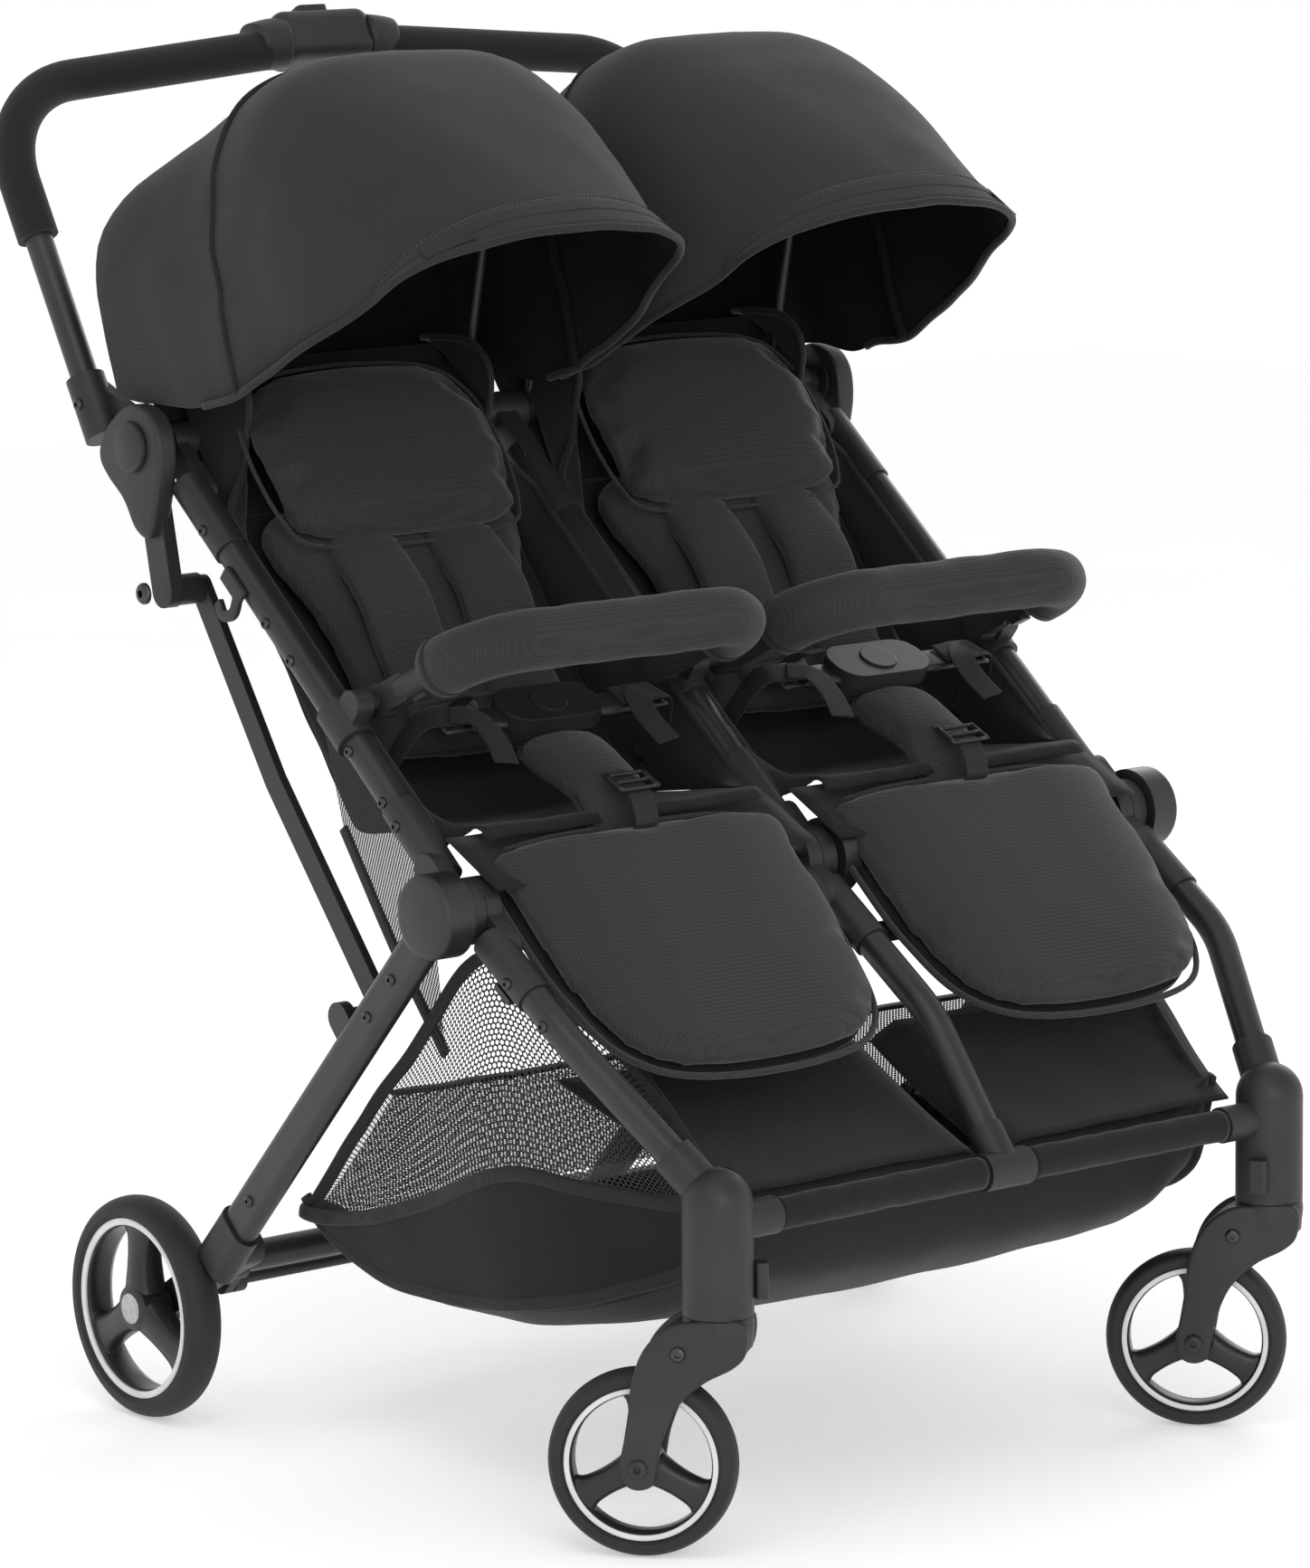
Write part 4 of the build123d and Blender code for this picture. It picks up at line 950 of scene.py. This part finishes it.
def crotch_pads():
    for side, word in SIDES:
        mid = side * SEAT_MID_X
        place = placed(mid, polar(CROTCH_END, CROTCH_TILT - pi / 2, 0.006), CROTCH_TILT)
        outline = closed([(-0.020, -0.022), (0.020, -0.022), (0.032, -0.004), (0.036, 0.035), (0.040, 0.072),
                          (0.030, 0.090), (-0.030, 0.090), (-0.040, 0.072), (-0.036, 0.035),
                          (-0.032, -0.004)], 60)
        pad = pad_mesh(f"crotch_cushion_{word}", outline, 0.009, 0.004, place, SEAT, lean=droop)
        pad = inflate(pad, 0.004, 0.005)
        on_seat(pad)
        if side > 0:
            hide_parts("crotch_pads")
        edge = piping(f"crotch_piping_{word}", outline, place, 0.0, 0.0018, BINDING, droop)
        on_seat(edge)
        turn = place.to_3x3()
        slider = glider(f"crotch_slider_{word}", place @ Vector((0, -0.002, 0.0172)), turn, 0.034, 0.020)
        mounted(slider, "seat_frame", "moulding")
        line = [place @ Vector((0, v, w)) for v, w in ((0.022, 0.0105), (0.010, 0.0125), (-0.004, 0.0145),
                                                       (-0.018, 0.0110), (-0.030, -0.004), (-0.020, -0.016))]
        on_seat(strap(f"crotch_strap_{word}", line, 0.022, 0.0016, WEBBING, turn @ Vector((0, 0, 1))))


def glider(name, centre, turn, width, height):
    """Three-bar slider for webbing."""
    over = height / 2 + 0.0012
    bars = [(f"{k}", (-width / 2, k * height / 2), (width / 2, k * height / 2), 0.0017) for k in (-1, 0, 1)]
    bars += [(f"e{k}", (k * width / 2, -over), (k * width / 2, over), 0.0020) for k in (-1, 1)]
    pieces = []
    for label, start, end, radius in bars:
        line = [centre + turn @ Vector((*p, 0)) for p in (start, end)]
        pieces.append(sweep(f"{name}_{label}", even(line, 6), circle(radius, 10), GLOSSY))
    return join(name, pieces)


def harness():
    """Buckle prongs, waist straps with their sliders and tails, and shoulder straps."""
    for side, word in SIDES:
        mid = side * SEAT_MID_X
        face = placed(mid, BUCKLE, CROTCH_TILT)
        turn = face.to_3x3()
        out = turn @ Vector((0, 0, 1))
        for k, hand in ((-1, "a"), (1, "b")):
            low, high = sorted((k * 0.044, k * 0.078))
            outline = [(-0.012, 0.0), (0.010, 0.0), (0.012, 0.004), (0.010, 0.0085), (-0.012, 0.0085),
                       (-0.014, 0.004)]
            prong = plate(f"buckle_prong_{hand}_{word}", outline, low, high, face, GLOSSY, 0.0018)
            mounted(prong, "seat_frame", "moulding")
            slider = glider(f"waist_slider_{hand}_{word}", face @ Vector((k * 0.094, 0.0, 0.0075)),
                            turn @ Matrix.Rotation(pi / 2, 3, "Z"), 0.030, 0.022)
            mounted(slider, "seat_frame", "moulding")
            line = [face @ Vector((k * 0.066, 0.0, 0.0100)), face @ Vector((k * 0.094, 0.0, 0.0110)),
                    face @ Vector((k * 0.116, 0.006, 0.004)),
                    at(mid + k * 0.128, -0.048, 0.540), at(mid + k * 0.131, -0.030, 0.512)]
            on_seat(strap(f"waist_strap_{hand}_{word}", line, 0.024, 0.0018, WEBBING, out))
            line = [face @ Vector((k * u, v, w)) for u, v, w in (
                (0.094, 0.0, 0.0125), (0.078, -0.012, 0.015), (0.074, -0.035, 0.010), (0.078, -0.058, 0.004))]
            on_seat(strap(f"waist_tail_{hand}_{word}", line, 0.022, 0.0016, WEBBING, out))
            shoulder_strap(word, mid, k, hand, face)


def shoulder_strap(word, mid, k, hand, face):
    """Shoulder webbing with its padded sleeve, down the backrest to the buckle."""
    stops = ((0.046, 0.212, 0.028), (0.047, 0.150, 0.043), (0.045, 0.100, 0.036), (0.042, 0.050, 0.034))
    line = [at(mid + k * x, *back_point(along, lift)) for x, along, lift in stops]
    low = face @ Vector((k * 0.040, 0.022, 0.010))
    down = [line[-1].lerp(low, 0.55) + Vector((0, -0.004, 0.006)), low]
    web = strap(f"shoulder_web_{hand}_{word}", line + down, 0.022, 0.0016, WEBBING, (0, -0.8, 0.5), 50)
    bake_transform(web)
    sleeve_line = spline(line + [line[3].lerp(low, 0.25)], 34)
    sleeve = sweep(f"shoulder_pad_{hand}_{word}", sleeve_line, oval(0.066, 0.017, 0.62, 32), SEAT,
                   (0, -0.85, 0.5), lambda t: 0.55 + 0.45 * smooth(min(t, 1 - t) / 0.06))
    mounted(folds_flat(sleeve), f"backrest_{word}", "webbing")


# ---- footrests ----
def footrests():
    angle = radians(-138.5)
    for side, word in SIDES:
        mid = side * SEAT_MID_X
        place = placed(mid, polar(HUB, angle + pi / 2, -0.031), angle + pi)
        outline = closed([(-0.124, 0.032), (0.0, 0.037), (0.124, 0.032), (0.139, 0.012), (0.141, -0.05),
                          (0.137, -0.105), (0.122, -0.160), (0.082, -0.193), (0.0, -0.202), (-0.082, -0.193),
                          (-0.122, -0.160), (-0.137, -0.105), (-0.141, -0.05), (-0.139, 0.012)], 110)
        pad = pad_mesh(f"footrest_cushion_{word}", outline, 0.013, 0.007, place, SEAT, lean=curl)
        pad = inflate(pad, 0.0055, 0.008)
        mounted(pad, f"footrest_{word}", "seat_cloth", f"footrest_{word}")
        edge = piping(f"footrest_piping_{word}", outline, place, -0.0045, 0.0026, SEAT, curl)
        mounted(edge, f"footrest_{word}", "seat_cloth")
        start, end = polar(HUB, radians(148), 0.036), polar(HUB, radians(58), 0.058)
        rows = []
        for t in (0.0, 0.25, 0.5, 0.75, 1.0):
            y, z = mix(start[0], end[0], t), mix(start[1], end[1], t)
            rows.append([at(mid + 0.153 * (-1 + i / 12), y, z) for i in range(25)])
        flap = grid(f"footrest_flap_{word}", rows, BODY, 0.0014)
        declare_sheet(flap, rows)
        mounted(flap, f"footrest_{word}", "seat_cloth")
        inner = [(u * 0.93, -0.10 + (v + 0.10) * 0.93) for u, v in outline]
        under = place @ Matrix.Translation((0, 0, -0.012))
        board = pad_mesh(f"footrest_board_{word}", inner, 0.006, 0.0, under, BODY, 4, curl)
        mounted(soften(board, 0.0), f"footrest_{word}", "seat_cloth")


# ---- bumper bars ----
BUMPER_PIVOT = along_seat(0.190, 0.024)
BUMPER_FRONT = (-0.168, 0.643)
BUMPER_HALF = 0.1335


def bumper_covers():
    lean = atan2(BUMPER_FRONT[1] - BUMPER_PIVOT[1], BUMPER_FRONT[0] - BUMPER_PIVOT[0])
    end = polar(BUMPER_PIVOT, lean, 0.071)
    for side, word in SIDES:
        mid = side * SEAT_MID_X
        left, right = mid - BUMPER_HALF, mid + BUMPER_HALF
        corner = 0.046
        line = [at(left, *end)]
        for x, inward, turns in ((left, 1, range(13)), (right, -1, range(12, -1, -1))):
            for k in turns:
                turn = pi / 2 * k / 12
                back = polar(BUMPER_FRONT, lean + pi, corner * (1 - sin(turn)))
                line.append(at(x + inward * corner * (1 - cos(turn)), *back))
        line.append(at(right, *end))
        line = even(line, 110)
        cover = sweep(f"bumper_cover_{word}", line, circle(0.0229, 36), TWILL, (0, -0.4, 0.9),
                      lambda t: 0.80 + 0.20 * smooth(min(t, 1 - t) / 0.018))
        for v in cover.data.vertices:
            v.co += crumple(v.co, 0.0011, 34, side + 2)
        mounted(cover, f"bumper_{word}", "foam", f"bumper_bar_{word}")
        for label, stretch in (("a", line[3:6]), ("b", line[-6:-3])):
            ring = sweep(f"bumper_cuff_{label}_{word}", stretch, circle(0.0236, 32), BINDING)
            mounted(ring, f"bumper_{word}", "foam")
        under = [p + Vector((0, 0.0040, -0.0226)) for p in line[8:-8]]
        seam = sweep(f"bumper_seam_{word}", under, circle(0.0011, 6), BINDING)
        mounted(seam, f"bumper_{word}", "foam")


# ---- basket ----
BASKET_LOW = [(-0.376, 0.258), (-0.366, 0.222), (-0.350, 0.184), (-0.300, 0.158), (-0.240, 0.140),
              (-0.150, 0.128), (-0.060, 0.124), (0.010, 0.140), (0.045, 0.160), (0.056, 0.172)]
BASKET_HALF = 0.300


def basket_half_width(y):
    """The tub is narrower towards the front legs."""
    return mix(0.240, BASKET_HALF, smooth((y + 0.376) / 0.20))


def basket():
    tub()
    for side, word in SIDES:
        basket_side(side, word)
        hanging_net(side, word)
    front_cover()


def on_basket(piece, *nodes):
    """Puts basket cloth on the front frame with its own copy of its mesh, and hides the nodes that it stands
    for.
    """
    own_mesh(piece)
    return mounted(piece, "front_frame", "mesh_cloth", *nodes)


def tub():
    low = spline([(0, *p) for p in BASKET_LOW], 64)
    rows = []
    for p in low:
        half = basket_half_width(p.y)
        row = []
        for i in range(49):
            u = -1 + 2 * i / 48
            sag = 0.012 * (1 - u * u) * smooth((0.25 - p.z) / 0.1)
            lift = 0.020 * max(0.0, abs(u) - 0.86) / 0.14
            fold = crumple(Vector((u * half, p.y, p.z)), 0.003, 14, 4)
            row.append(at(u * half, p.y, p.z - sag + lift) + fold)
        rows.append(row)
    floor = grid("basket_floor", rows, BODY, 0.0018)
    declare_sheet(floor, rows)
    on_basket(floor, "basket")
    rear = spline([(0, 0.056, 0.172), (0, 0.000, 0.230), (0, -0.056, 0.290)], 12)
    rows = [[at(BASKET_HALF * (-1 + i / 20), p.y, p.z) + crumple(Vector((i * 0.03, p.y, p.z)), 0.002, 14, 6)
             for i in range(41)] for p in rear]
    back = grid("basket_rear_net", rows, FINE_NET)
    declare_sheet(back, rows)
    on_basket(back)
    on_basket(sweep("basket_rear_hem", even(rows[-1], 60), oval(0.012, 0.004, 0.6, 12), BINDING))


def basket_side(side, word):
    """Net side from the floor up to a bound hem, with a deeper solid lower part."""
    top = [(-0.372, 0.262), (-0.300, 0.325), (-0.235, 0.378), (-0.190, 0.412), (-0.150, 0.400),
           (-0.100, 0.345), (-0.030, 0.276), (0.054, 0.178)]
    tops = spline([(0, *p) for p in top], 50)
    lows = spline([(0, *p) for p in BASKET_LOW], 50)
    hems = []
    for part, a, b, material in (("skirt", 0.0, 0.40, BODY), ("net", 0.40, 1.0, NET)):
        rows = []
        for t in [mix(a, b, k / 12) for k in range(13)]:
            row = []
            for low, high in zip(lows, tops):
                y, z = mix(low.y, high.y, t), mix(low.z, high.z, t)
                x = basket_half_width(low.y) + 0.004 + 0.006 * sin(pi * t)
                fold = crumple(Vector((x, y, z)), 0.0024, 16, side + 7)
                row.append(at(side * x, y, z + 0.020 * (1 - t) ** 2) + fold)
            rows.append(row)
        cloth = grid(f"basket_{part}_{word}", rows, material)
        declare_sheet(cloth, rows)
        on_basket(cloth)
        hems.append((f"{part}_low_hem", rows[0], (0.0045, 0.0105)))
    hems += [("net_top_hem", rows[-1], (0.0045, 0.0105)), ("skirt_seam", rows[0], (0.003, 0.012))]
    for label, row, (thick, wide) in hems:
        on_basket(sweep(f"basket_{label}_{word}", even(row, 90), oval(thick, wide, 0.6, 12), BINDING))


def hanging_net(side, word):
    """Fine net under the seat's outer side, from the seat tube down to the basket."""
    tops = spline([(0, *along_seat(reach, -0.016)) for reach in (0.075, 0.16, 0.26)], 24)
    lows = spline([(0, -0.120, 0.330), (0, -0.060, 0.400), (0, 0.004, 0.486)], 24)
    rows = []
    for k in range(12):
        t = k / 11
        rows.append([at(side * mix(0.3065, 0.300, t), mix(a.y, b.y, t), mix(a.z, b.z, t))
                     for a, b in zip(tops, lows)])
    cloth = grid(f"seat_side_net_{word}", rows, FINE_NET)
    declare_sheet(cloth, rows)
    on_seat(cloth, "mesh_cloth")
    hem = sweep(f"seat_side_net_hem_{word}", even(rows[-1], 50), oval(0.004, 0.010, 0.6, 12), BINDING)
    on_seat(hem, "mesh_cloth")


def front_cover():
    """Solid cloth from the front cross tube up under the footrests, with a sleeve round the tube."""
    for side, word in SIDES:
        rows = []
        for j in range(20):
            t = j / 19
            y, z = mix(-0.395, -0.250, t), mix(0.2625, 0.330, t)
            z -= 0.004 * sin(pi * t)
            far = mix(0.243, 0.296, t)
            row = [at(side * mix(0.006, far, i / 24), y, z) for i in range(25)]
            dips = [Vector((0, 0, 0.014 * (1 - smooth(abs(p.x) / 0.03)))) for p in row]
            rows.append([p + crumple(p, 0.0018, 16, 8) - dip for p, dip in zip(row, dips)])
        cover = grid(f"basket_front_cover_{word}", rows, BODY, 0.0016)
        declare_sheet(cover, rows)
        on_basket(cover)
        start, end = at(side * 0.024, -0.408, 0.246), at(side * 0.222, -0.408, 0.246)
        sleeve = sweep(f"basket_tube_sleeve_{word}", even([start, end], 40), circle(0.0122, 24), BODY)
        for v in sleeve.data.vertices:
            v.co += crumple(v.co, 0.0008, 60, 3)
        mounted(sleeve, "front_frame", "mesh_cloth")


# ---- wheels ----
def ring_profile(name, place, section, material, count=96):
    """Ring turned about the axle from a closed (x, radius) section."""
    verts, faces = [], []
    n = len(section)
    for k in range(count):
        a = 2 * pi * k / count
        verts += [place @ Vector((x, r * cos(a), r * sin(a))) for x, r in section]
    for k in range(count):
        for i in range(n):
            m, j = (k + 1) % count, (i + 1) % n
            faces.append((k * n + i, k * n + j, m * n + j, m * n + i))
    return soften(make(name, verts, faces, material), 0.0, angle=40)


def spoke(name, place, turn, half, hub_r, rim_in):
    """One spoke from the hub to the rim, with a waist and a flared foot."""
    stations, around = 14, 16
    verts, faces = [], []
    for j in range(stations):
        t = j / (stations - 1)
        r = mix(hub_r * 0.7, rim_in + 0.0018, t)
        wide = mix(hub_r * 0.86, hub_r * 0.68, sin(pi * min(t * 1.1, 1)) ** 0.8)
        wide *= 1 + 1.1 * max(0.0, t - 0.78) / 0.22 * (t - 0.78) * 2.2
        deep = mix(half * 0.86, half * 0.60, smooth(t))
        for m in range(around):
            c, s = cos(2 * pi * m / around), sin(2 * pi * m / around)
            px = deep * abs(c) ** 0.6 * (1 if c > 0 else -1)
            py = wide * abs(s) ** 0.7 * (1 if s > 0 else -1)
            verts.append(place @ Vector((px, r * cos(turn) - py * sin(turn), r * sin(turn) + py * cos(turn))))
    for j in range(0, (stations - 1) * around, around):
        for m in range(around):
            n = (m + 1) % around
            faces.append((j + m, j + n, j + around + n, j + around + m))
    return soften(make(name, verts, faces, GLOSSY), 0.0, angle=50)


def build_wheel(end, word, place, radius, width):
    """Tyre, rim with three spokes and a hub, and a pale ring on each face."""
    label, body = f"{end}_{word}", f"{end}_wheel_{word}"
    tyre_in, rim_in, hub_r = radius * 0.815, radius * 0.735, radius * 0.205
    half = width / 2
    depth = radius - tyre_in
    tread = []
    for k in range(25):
        a = pi * k / 24
        x = half * 0.98 * cos(a) * (1.0 - 0.10 * sin(a) ** 6)
        tread.append((x, tyre_in + depth * 0.18 + depth * 0.82 * sin(a) ** 0.62))
    tread += [(-half * 0.80, tyre_in), (half * 0.80, tyre_in)]
    tyre = ring_profile(f"tyre_{label}", place, tread, RUBBER)
    mounted(tyre, body, "tyre", f"{end}_tyre_{word}")
    flank = [(0.74, tyre_in + 0.0006), (0.78, tyre_in - 0.001), (0.70, rim_in + 0.0015), (0.55, rim_in)]
    section = [(half * x, r) for x, r in flank] + [(-half * x, r) for x, r in reversed(flank)]
    parts = [ring_profile(f"rim_{label}", place, section, GLOSSY)]
    parts += [spoke(f"spoke_{label}_{k}", place, radians(k), half, hub_r, rim_in) for k in (90, 210, 330)]
    edge = [(0.80, hub_r), (0.92, hub_r * 0.86), (0.92, hub_r * 0.60)]
    profile = [(-half * d, r) for d, r in reversed(edge)] + [(half * d, r) for d, r in edge]
    axis = place.to_3x3() @ Vector((1, 0, 0))
    parts.append(disc(f"wheel_hub_{label}", place.translation, axis, profile, GLOSSY, 40))
    mounted(join(f"wheel_body_{label}", parts), body, "rim", f"{end}_rim_{word}")
    for k, face in ((-1, "a"), (1, "b")):
        ring = ring_profile(f"pale_ring_{face}_{label}", place, [
            (k * half * 0.66, tyre_in - 0.0006), (k * half * 0.82, tyre_in - 0.0003),
            (k * half * 0.86, tyre_in - 0.0014), (k * half * 0.85, rim_in + 0.0024),
            (k * half * 0.80, rim_in + 0.0014), (k * half * 0.60, rim_in + 0.0016)], PALE)
        mounted(ring, body, "rim")


def wheels():
    for side, word in SIDES:
        x, y, z = REAR_WHEEL
        build_wheel("rear", word, Matrix.Translation(at(side * x, y, z)), REAR_WHEEL_R, REAR_TYRE_W)
        x, y = side * CASTOR[0] - TRAIL * sin(CASTOR_TURN), CASTOR[1] + TRAIL * cos(CASTOR_TURN)
        place = Matrix.Translation(at(x, y, FRONT_WHEEL_R)) @ Matrix.Rotation(CASTOR_TURN, 4, "Z")
        build_wheel("front", word, place, FRONT_WHEEL_R, FRONT_TYRE_W)


# ---- castor forks ----
def castor_forks():
    """Two curved arms under a round head, each with a pivot bolt and an axle bolt."""
    for side, word in SIDES:
        place = Matrix.Translation(at(side * CASTOR[0], CASTOR[1], 0)) @ Matrix.Rotation(CASTOR_TURN, 4, "Z")
        outline = closed([
            (-0.022, 0.1795), (0.004, 0.1800), (0.030, 0.1770), (0.050, 0.160), (0.060, 0.136),
            (0.063, 0.112), (0.0665, 0.090), (0.070, 0.070), (0.066, 0.0575), (0.056, 0.0535),
            (0.045, 0.058), (0.0425, 0.070), (0.038, 0.092), (0.027, 0.116), (0.008, 0.134),
            (-0.014, 0.146), (-0.0235, 0.158)], 90)
        inner = FRONT_TYRE_W / 2 + 0.0022
        outer = inner + 0.0085
        parts = []
        for k, arm in ((-1, "a"), (1, "b")):
            low, high = sorted((k * inner, k * outer))
            parts.append(plate(f"fork_arm_{arm}_{word}", outline, low, high, place, MOULDING, 0.0032))
        profile = [(-0.004, 0.0), (-0.004, 0.0200), (0.002, 0.0250), (0.020, 0.0262), (0.0243, 0.0250),
                   (0.0246, 0.0)]
        parts.append(disc(f"fork_head_{word}", place @ Vector((0, 0, 0.1560)), (0, 0, 1), profile, MOULDING))
        bridge = closed([(-0.019, 0.1780), (0.006, 0.1785), (0.028, 0.1750), (0.043, 0.162), (0.034, 0.152),
                         (0.010, 0.158), (-0.014, 0.160), (-0.022, 0.168)], 50)
        reach = inner + 0.001
        parts.append(plate(f"fork_bridge_{word}", bridge, -reach, reach, place, MOULDING, 0.0))
        fork = join(f"castor_fork_shell_{word}", parts)
        mounted(fork, f"castor_{word}", "moulding", f"castor_fork_{word}")
        axis = place.to_3x3() @ Vector((1, 0, 0))
        for k, face in ((-1, "a"), (1, "b")):
            for label, y, z, radius, material in (("pivot", 0.026, 0.156, 0.0058, DARK_STEEL),
                                                  ("axle", TRAIL, FRONT_WHEEL_R, 0.0072, MOULDING)):
                screw_head(f"castor_{label}_{face}_{word}", place @ Vector((k * (outer - 0.0006), y, z)),
                           axis * k, radius, f"castor_{word}", material)


def screw_head(name, centre, axis, radius, body, material=DARK_STEEL):
    """Domed screw or rivet with a round recess."""
    profile = [(0.0, 1.0), (0.22, 1.0), (0.45, 0.86), (0.56, 0.55), (0.56, 0.36), (0.25, 0.34), (0.25, 0.0)]
    head = disc(name, centre, axis, [(radius * d, radius * r) for d, r in profile], material, 24)
    mounted(head, body, "steel")


def frame_screws():
    """Screws and rivets in the outer faces of the tubes, sleeves, legs, levers and links."""
    tube_face, sleeve_face = SEAT_X + 0.0118, SEAT_X + 0.0138
    front = atan2(0.370 - HUB[1], -0.300 - HUB[0])
    spots = [("seat_frame", tube_face, along_seat(reach)) for reach in (0.112, 0.165, 0.260, 0.300)]
    spots += [("seat_frame", sleeve_face, along_seat(reach)) for reach in (0.088, 0.400)]
    spots += [("rear_frame", LEG_X + 0.0084, polar(HUB, radians(-46.7), reach))
              for reach in (0.075, 0.120, 0.350)]
    spots += [("front_frame", sleeve_face, polar(HUB, front, 0.078)),
              ("front_frame", tube_face, polar(HUB, front, 0.125))]
    for side, word in SIDES:
        out = Vector((side, 0, 0))
        for k, (body, x, p) in enumerate(spots):
            screw_head(f"frame_screw_{k}_{word}", at(side * x, *p), out, 0.0046, body)
        screw_head(f"lever_pivot_cap_{word}", at(side * 0.3582, 0.177, 0.654), out, 0.0085, "levers")
        screw_head(f"handle_bracket_screw_{word}", at(side * 0.3500, 0.2745, 0.792), out, 0.005, "handle")
        screw_head(f"link_pivot_cap_{word}", at(side * 0.3300, -0.0494, 0.3537), -out, 0.0056, "rear_frame")


# ---- hub covers, hinges and housings ----
def hub_covers():
    for side, word in SIDES:
        profile = [(-0.004, 0.0318), (0.0010, 0.0318), (0.0034, 0.0302), (0.0050, 0.0262), (0.0054, 0.0)]
        centre = at(side * (LEG_X + 0.0134), *HUB)
        cover = disc(f"hub_cover_{word}", centre, (side, 0, 0), profile, MOULDING, 64)
        mounted(cover, "rear_frame", "moulding")


def lever_covers():
    """Raised shell and round cap over each lever's hinge end."""
    outline = closed([(0.168, 0.778), (0.182, 0.793), (0.205, 0.797), (0.228, 0.785), (0.244, 0.768),
                      (0.247, 0.752), (0.236, 0.738), (0.216, 0.722), (0.200, 0.700), (0.182, 0.696),
                      (0.172, 0.722), (0.165, 0.752)], 80)
    for side, word in SIDES:
        low, high = sorted((side * 0.3330, side * 0.3510))
        place = Matrix.Translation((0, -DATUM, 0))
        shell = plate(f"lever_shell_{word}", outline, low, high, place, MOULDING, 0.0035)
        mounted(shell, "levers", "moulding")
        cap = disc(f"lever_cap_{word}", at(side * 0.3533, *UPPER), (side, 0, 0), [
            (-0.001, 0.0200), (0.0022, 0.0195), (0.0042, 0.0165), (0.0047, 0.0)], MOULDING, 56)
        mounted(cap, "levers", "moulding")


def housing_details():
    """Collars where the handle's foam meets its centre housing."""
    for side, word in SIDES:
        start = at(side * 0.0420, 0.4290, 1.0538)
        line = even([start, start + Vector((side * 0.026, -0.0008, -0.0012))], 12)
        collar = sweep(f"housing_collar_{word}", line, oval(0.0435, 0.0425, 0.80, 36), MOULDING,
                       scale=lambda t: 1.0 - 0.12 * t ** 2)
        mounted(collar, "handle", "moulding")


def storage_hook():
    """Hook on the left seat tube that holds the folded frame."""
    base = at(-0.3375, *along_seat(0.345, -0.004))
    turn = Matrix.Rotation(SEAT_ANGLE, 3, "X")
    parts = [block("hook_base", base, (0.005, 0.030, 0.014), turn, MOULDING, 0.0018)]
    line = [base + turn @ Vector(p) for p in ((0, -0.010, -0.004), (-0.001, -0.014, -0.016),
                                              (-0.001, -0.006, -0.026), (0, 0.006, -0.024))]
    parts.append(strap("hook_arm", line, 0.009, 0.005, MOULDING, (1, 0, 0), 24))
    mounted(join("storage_hook", parts), "seat_frame", "moulding")


# ---- studio ----
def studio():
    """Pale floor, a world that is white at the horizon and dimmer overhead, and four soft lights."""
    floor = bpy.data.meshes.new("studio_floor")
    floor.from_pydata([(-6, -6, 0), (6, -6, 0), (6, 6, 0), (-6, 6, 0)], [], [(0, 1, 2, 3)])
    sh = Shader("studio_paper")
    sh.tint(sh.noise(3.0), (0.86, 0.86, 0.86), (0.88, 0.88, 0.88))
    sh.set(Roughness=0.9, Specular_IOR_Level=0.1, Emission_Strength=0.4)
    sh.bsdf.inputs["Emission Color"].default_value = (1.0, 1.0, 1.0, 1.0)
    floor.materials.append(sh.material)
    linked("studio_floor", floor)
    bpy.context.scene.view_settings.view_transform = "Standard"
    world = bpy.data.worlds.new("studio")
    bpy.context.scene.world = world
    world.use_nodes = True
    nodes, links = world.node_tree.nodes, world.node_tree.links
    coords, split, ramp = [nodes.new(f"ShaderNode{kind}") for kind in ("TexCoord", "SeparateXYZ", "ValToRGB")]
    horizon, zenith = ramp.color_ramp.elements
    horizon.position = 0.2
    horizon.color = (1.0, 1.0, 1.0, 1.0)
    zenith.color = (0.42, 0.42, 0.42, 1.0)
    links.new(coords.outputs["Generated"], split.inputs[0])
    links.new(split.outputs["Z"], ramp.inputs["Fac"])
    links.new(ramp.outputs["Color"], nodes["Background"].inputs["Color"])
    for name, place, target, size, power in (
            ("key", (-1.6, -1.2, 3.2), (0, 0, 0.7), 1.6, 12),
            ("top", (0.6, 0.4, 3.4), (0, 0, 0.6), 2.4, 6),
            ("front", (-1.4, -3.2, 1.6), (0, 0, 0.5), 1.8, 24),
            ("edge", (2.6, 1.2, 1.6), (0, 0, 0.7), 1.6, 16)):
        light = bpy.data.lights.new(name, "AREA")
        light.size = size
        light.energy = power
        lamp = linked(name, light)
        lamp.location = place
        lamp.rotation_euler = (Vector(target) - Vector(place)).to_track_quat("-Z", "Y").to_euler()


def camera():
    """Long lens from the front left and slightly above."""
    distance = 5.0838
    azimuth, elevation, roll = radians(-38.754), radians(9.3695), radians(-0.6909)
    target = Vector((0, -DATUM, 0.4866))
    back = Vector((sin(azimuth) * cos(elevation), -cos(azimuth) * cos(elevation), sin(elevation)))
    right = Vector((cos(azimuth), sin(azimuth), 0))
    up = back.cross(right)
    side = right * cos(roll) + up * sin(roll)
    top = up * cos(roll) - right * sin(roll)
    data = bpy.data.cameras.new("camera")
    data.sensor_fit = "VERTICAL"
    data.sensor_height = 36
    data.lens = 148.47
    obj = linked("camera", data)
    turn = Matrix((side, top, back)).transposed().to_4x4()
    obj.matrix_world = Matrix.Translation(target + back * distance) @ turn
    bpy.context.scene.camera = obj


finish_cad()
hoods()
seats()
back_pads()
crotch_pads()
harness()
footrests()
bumper_covers()
basket()
wheels()
castor_forks()
frame_screws()
hub_covers()
lever_covers()
housing_details()
storage_hook()
studio()
camera()
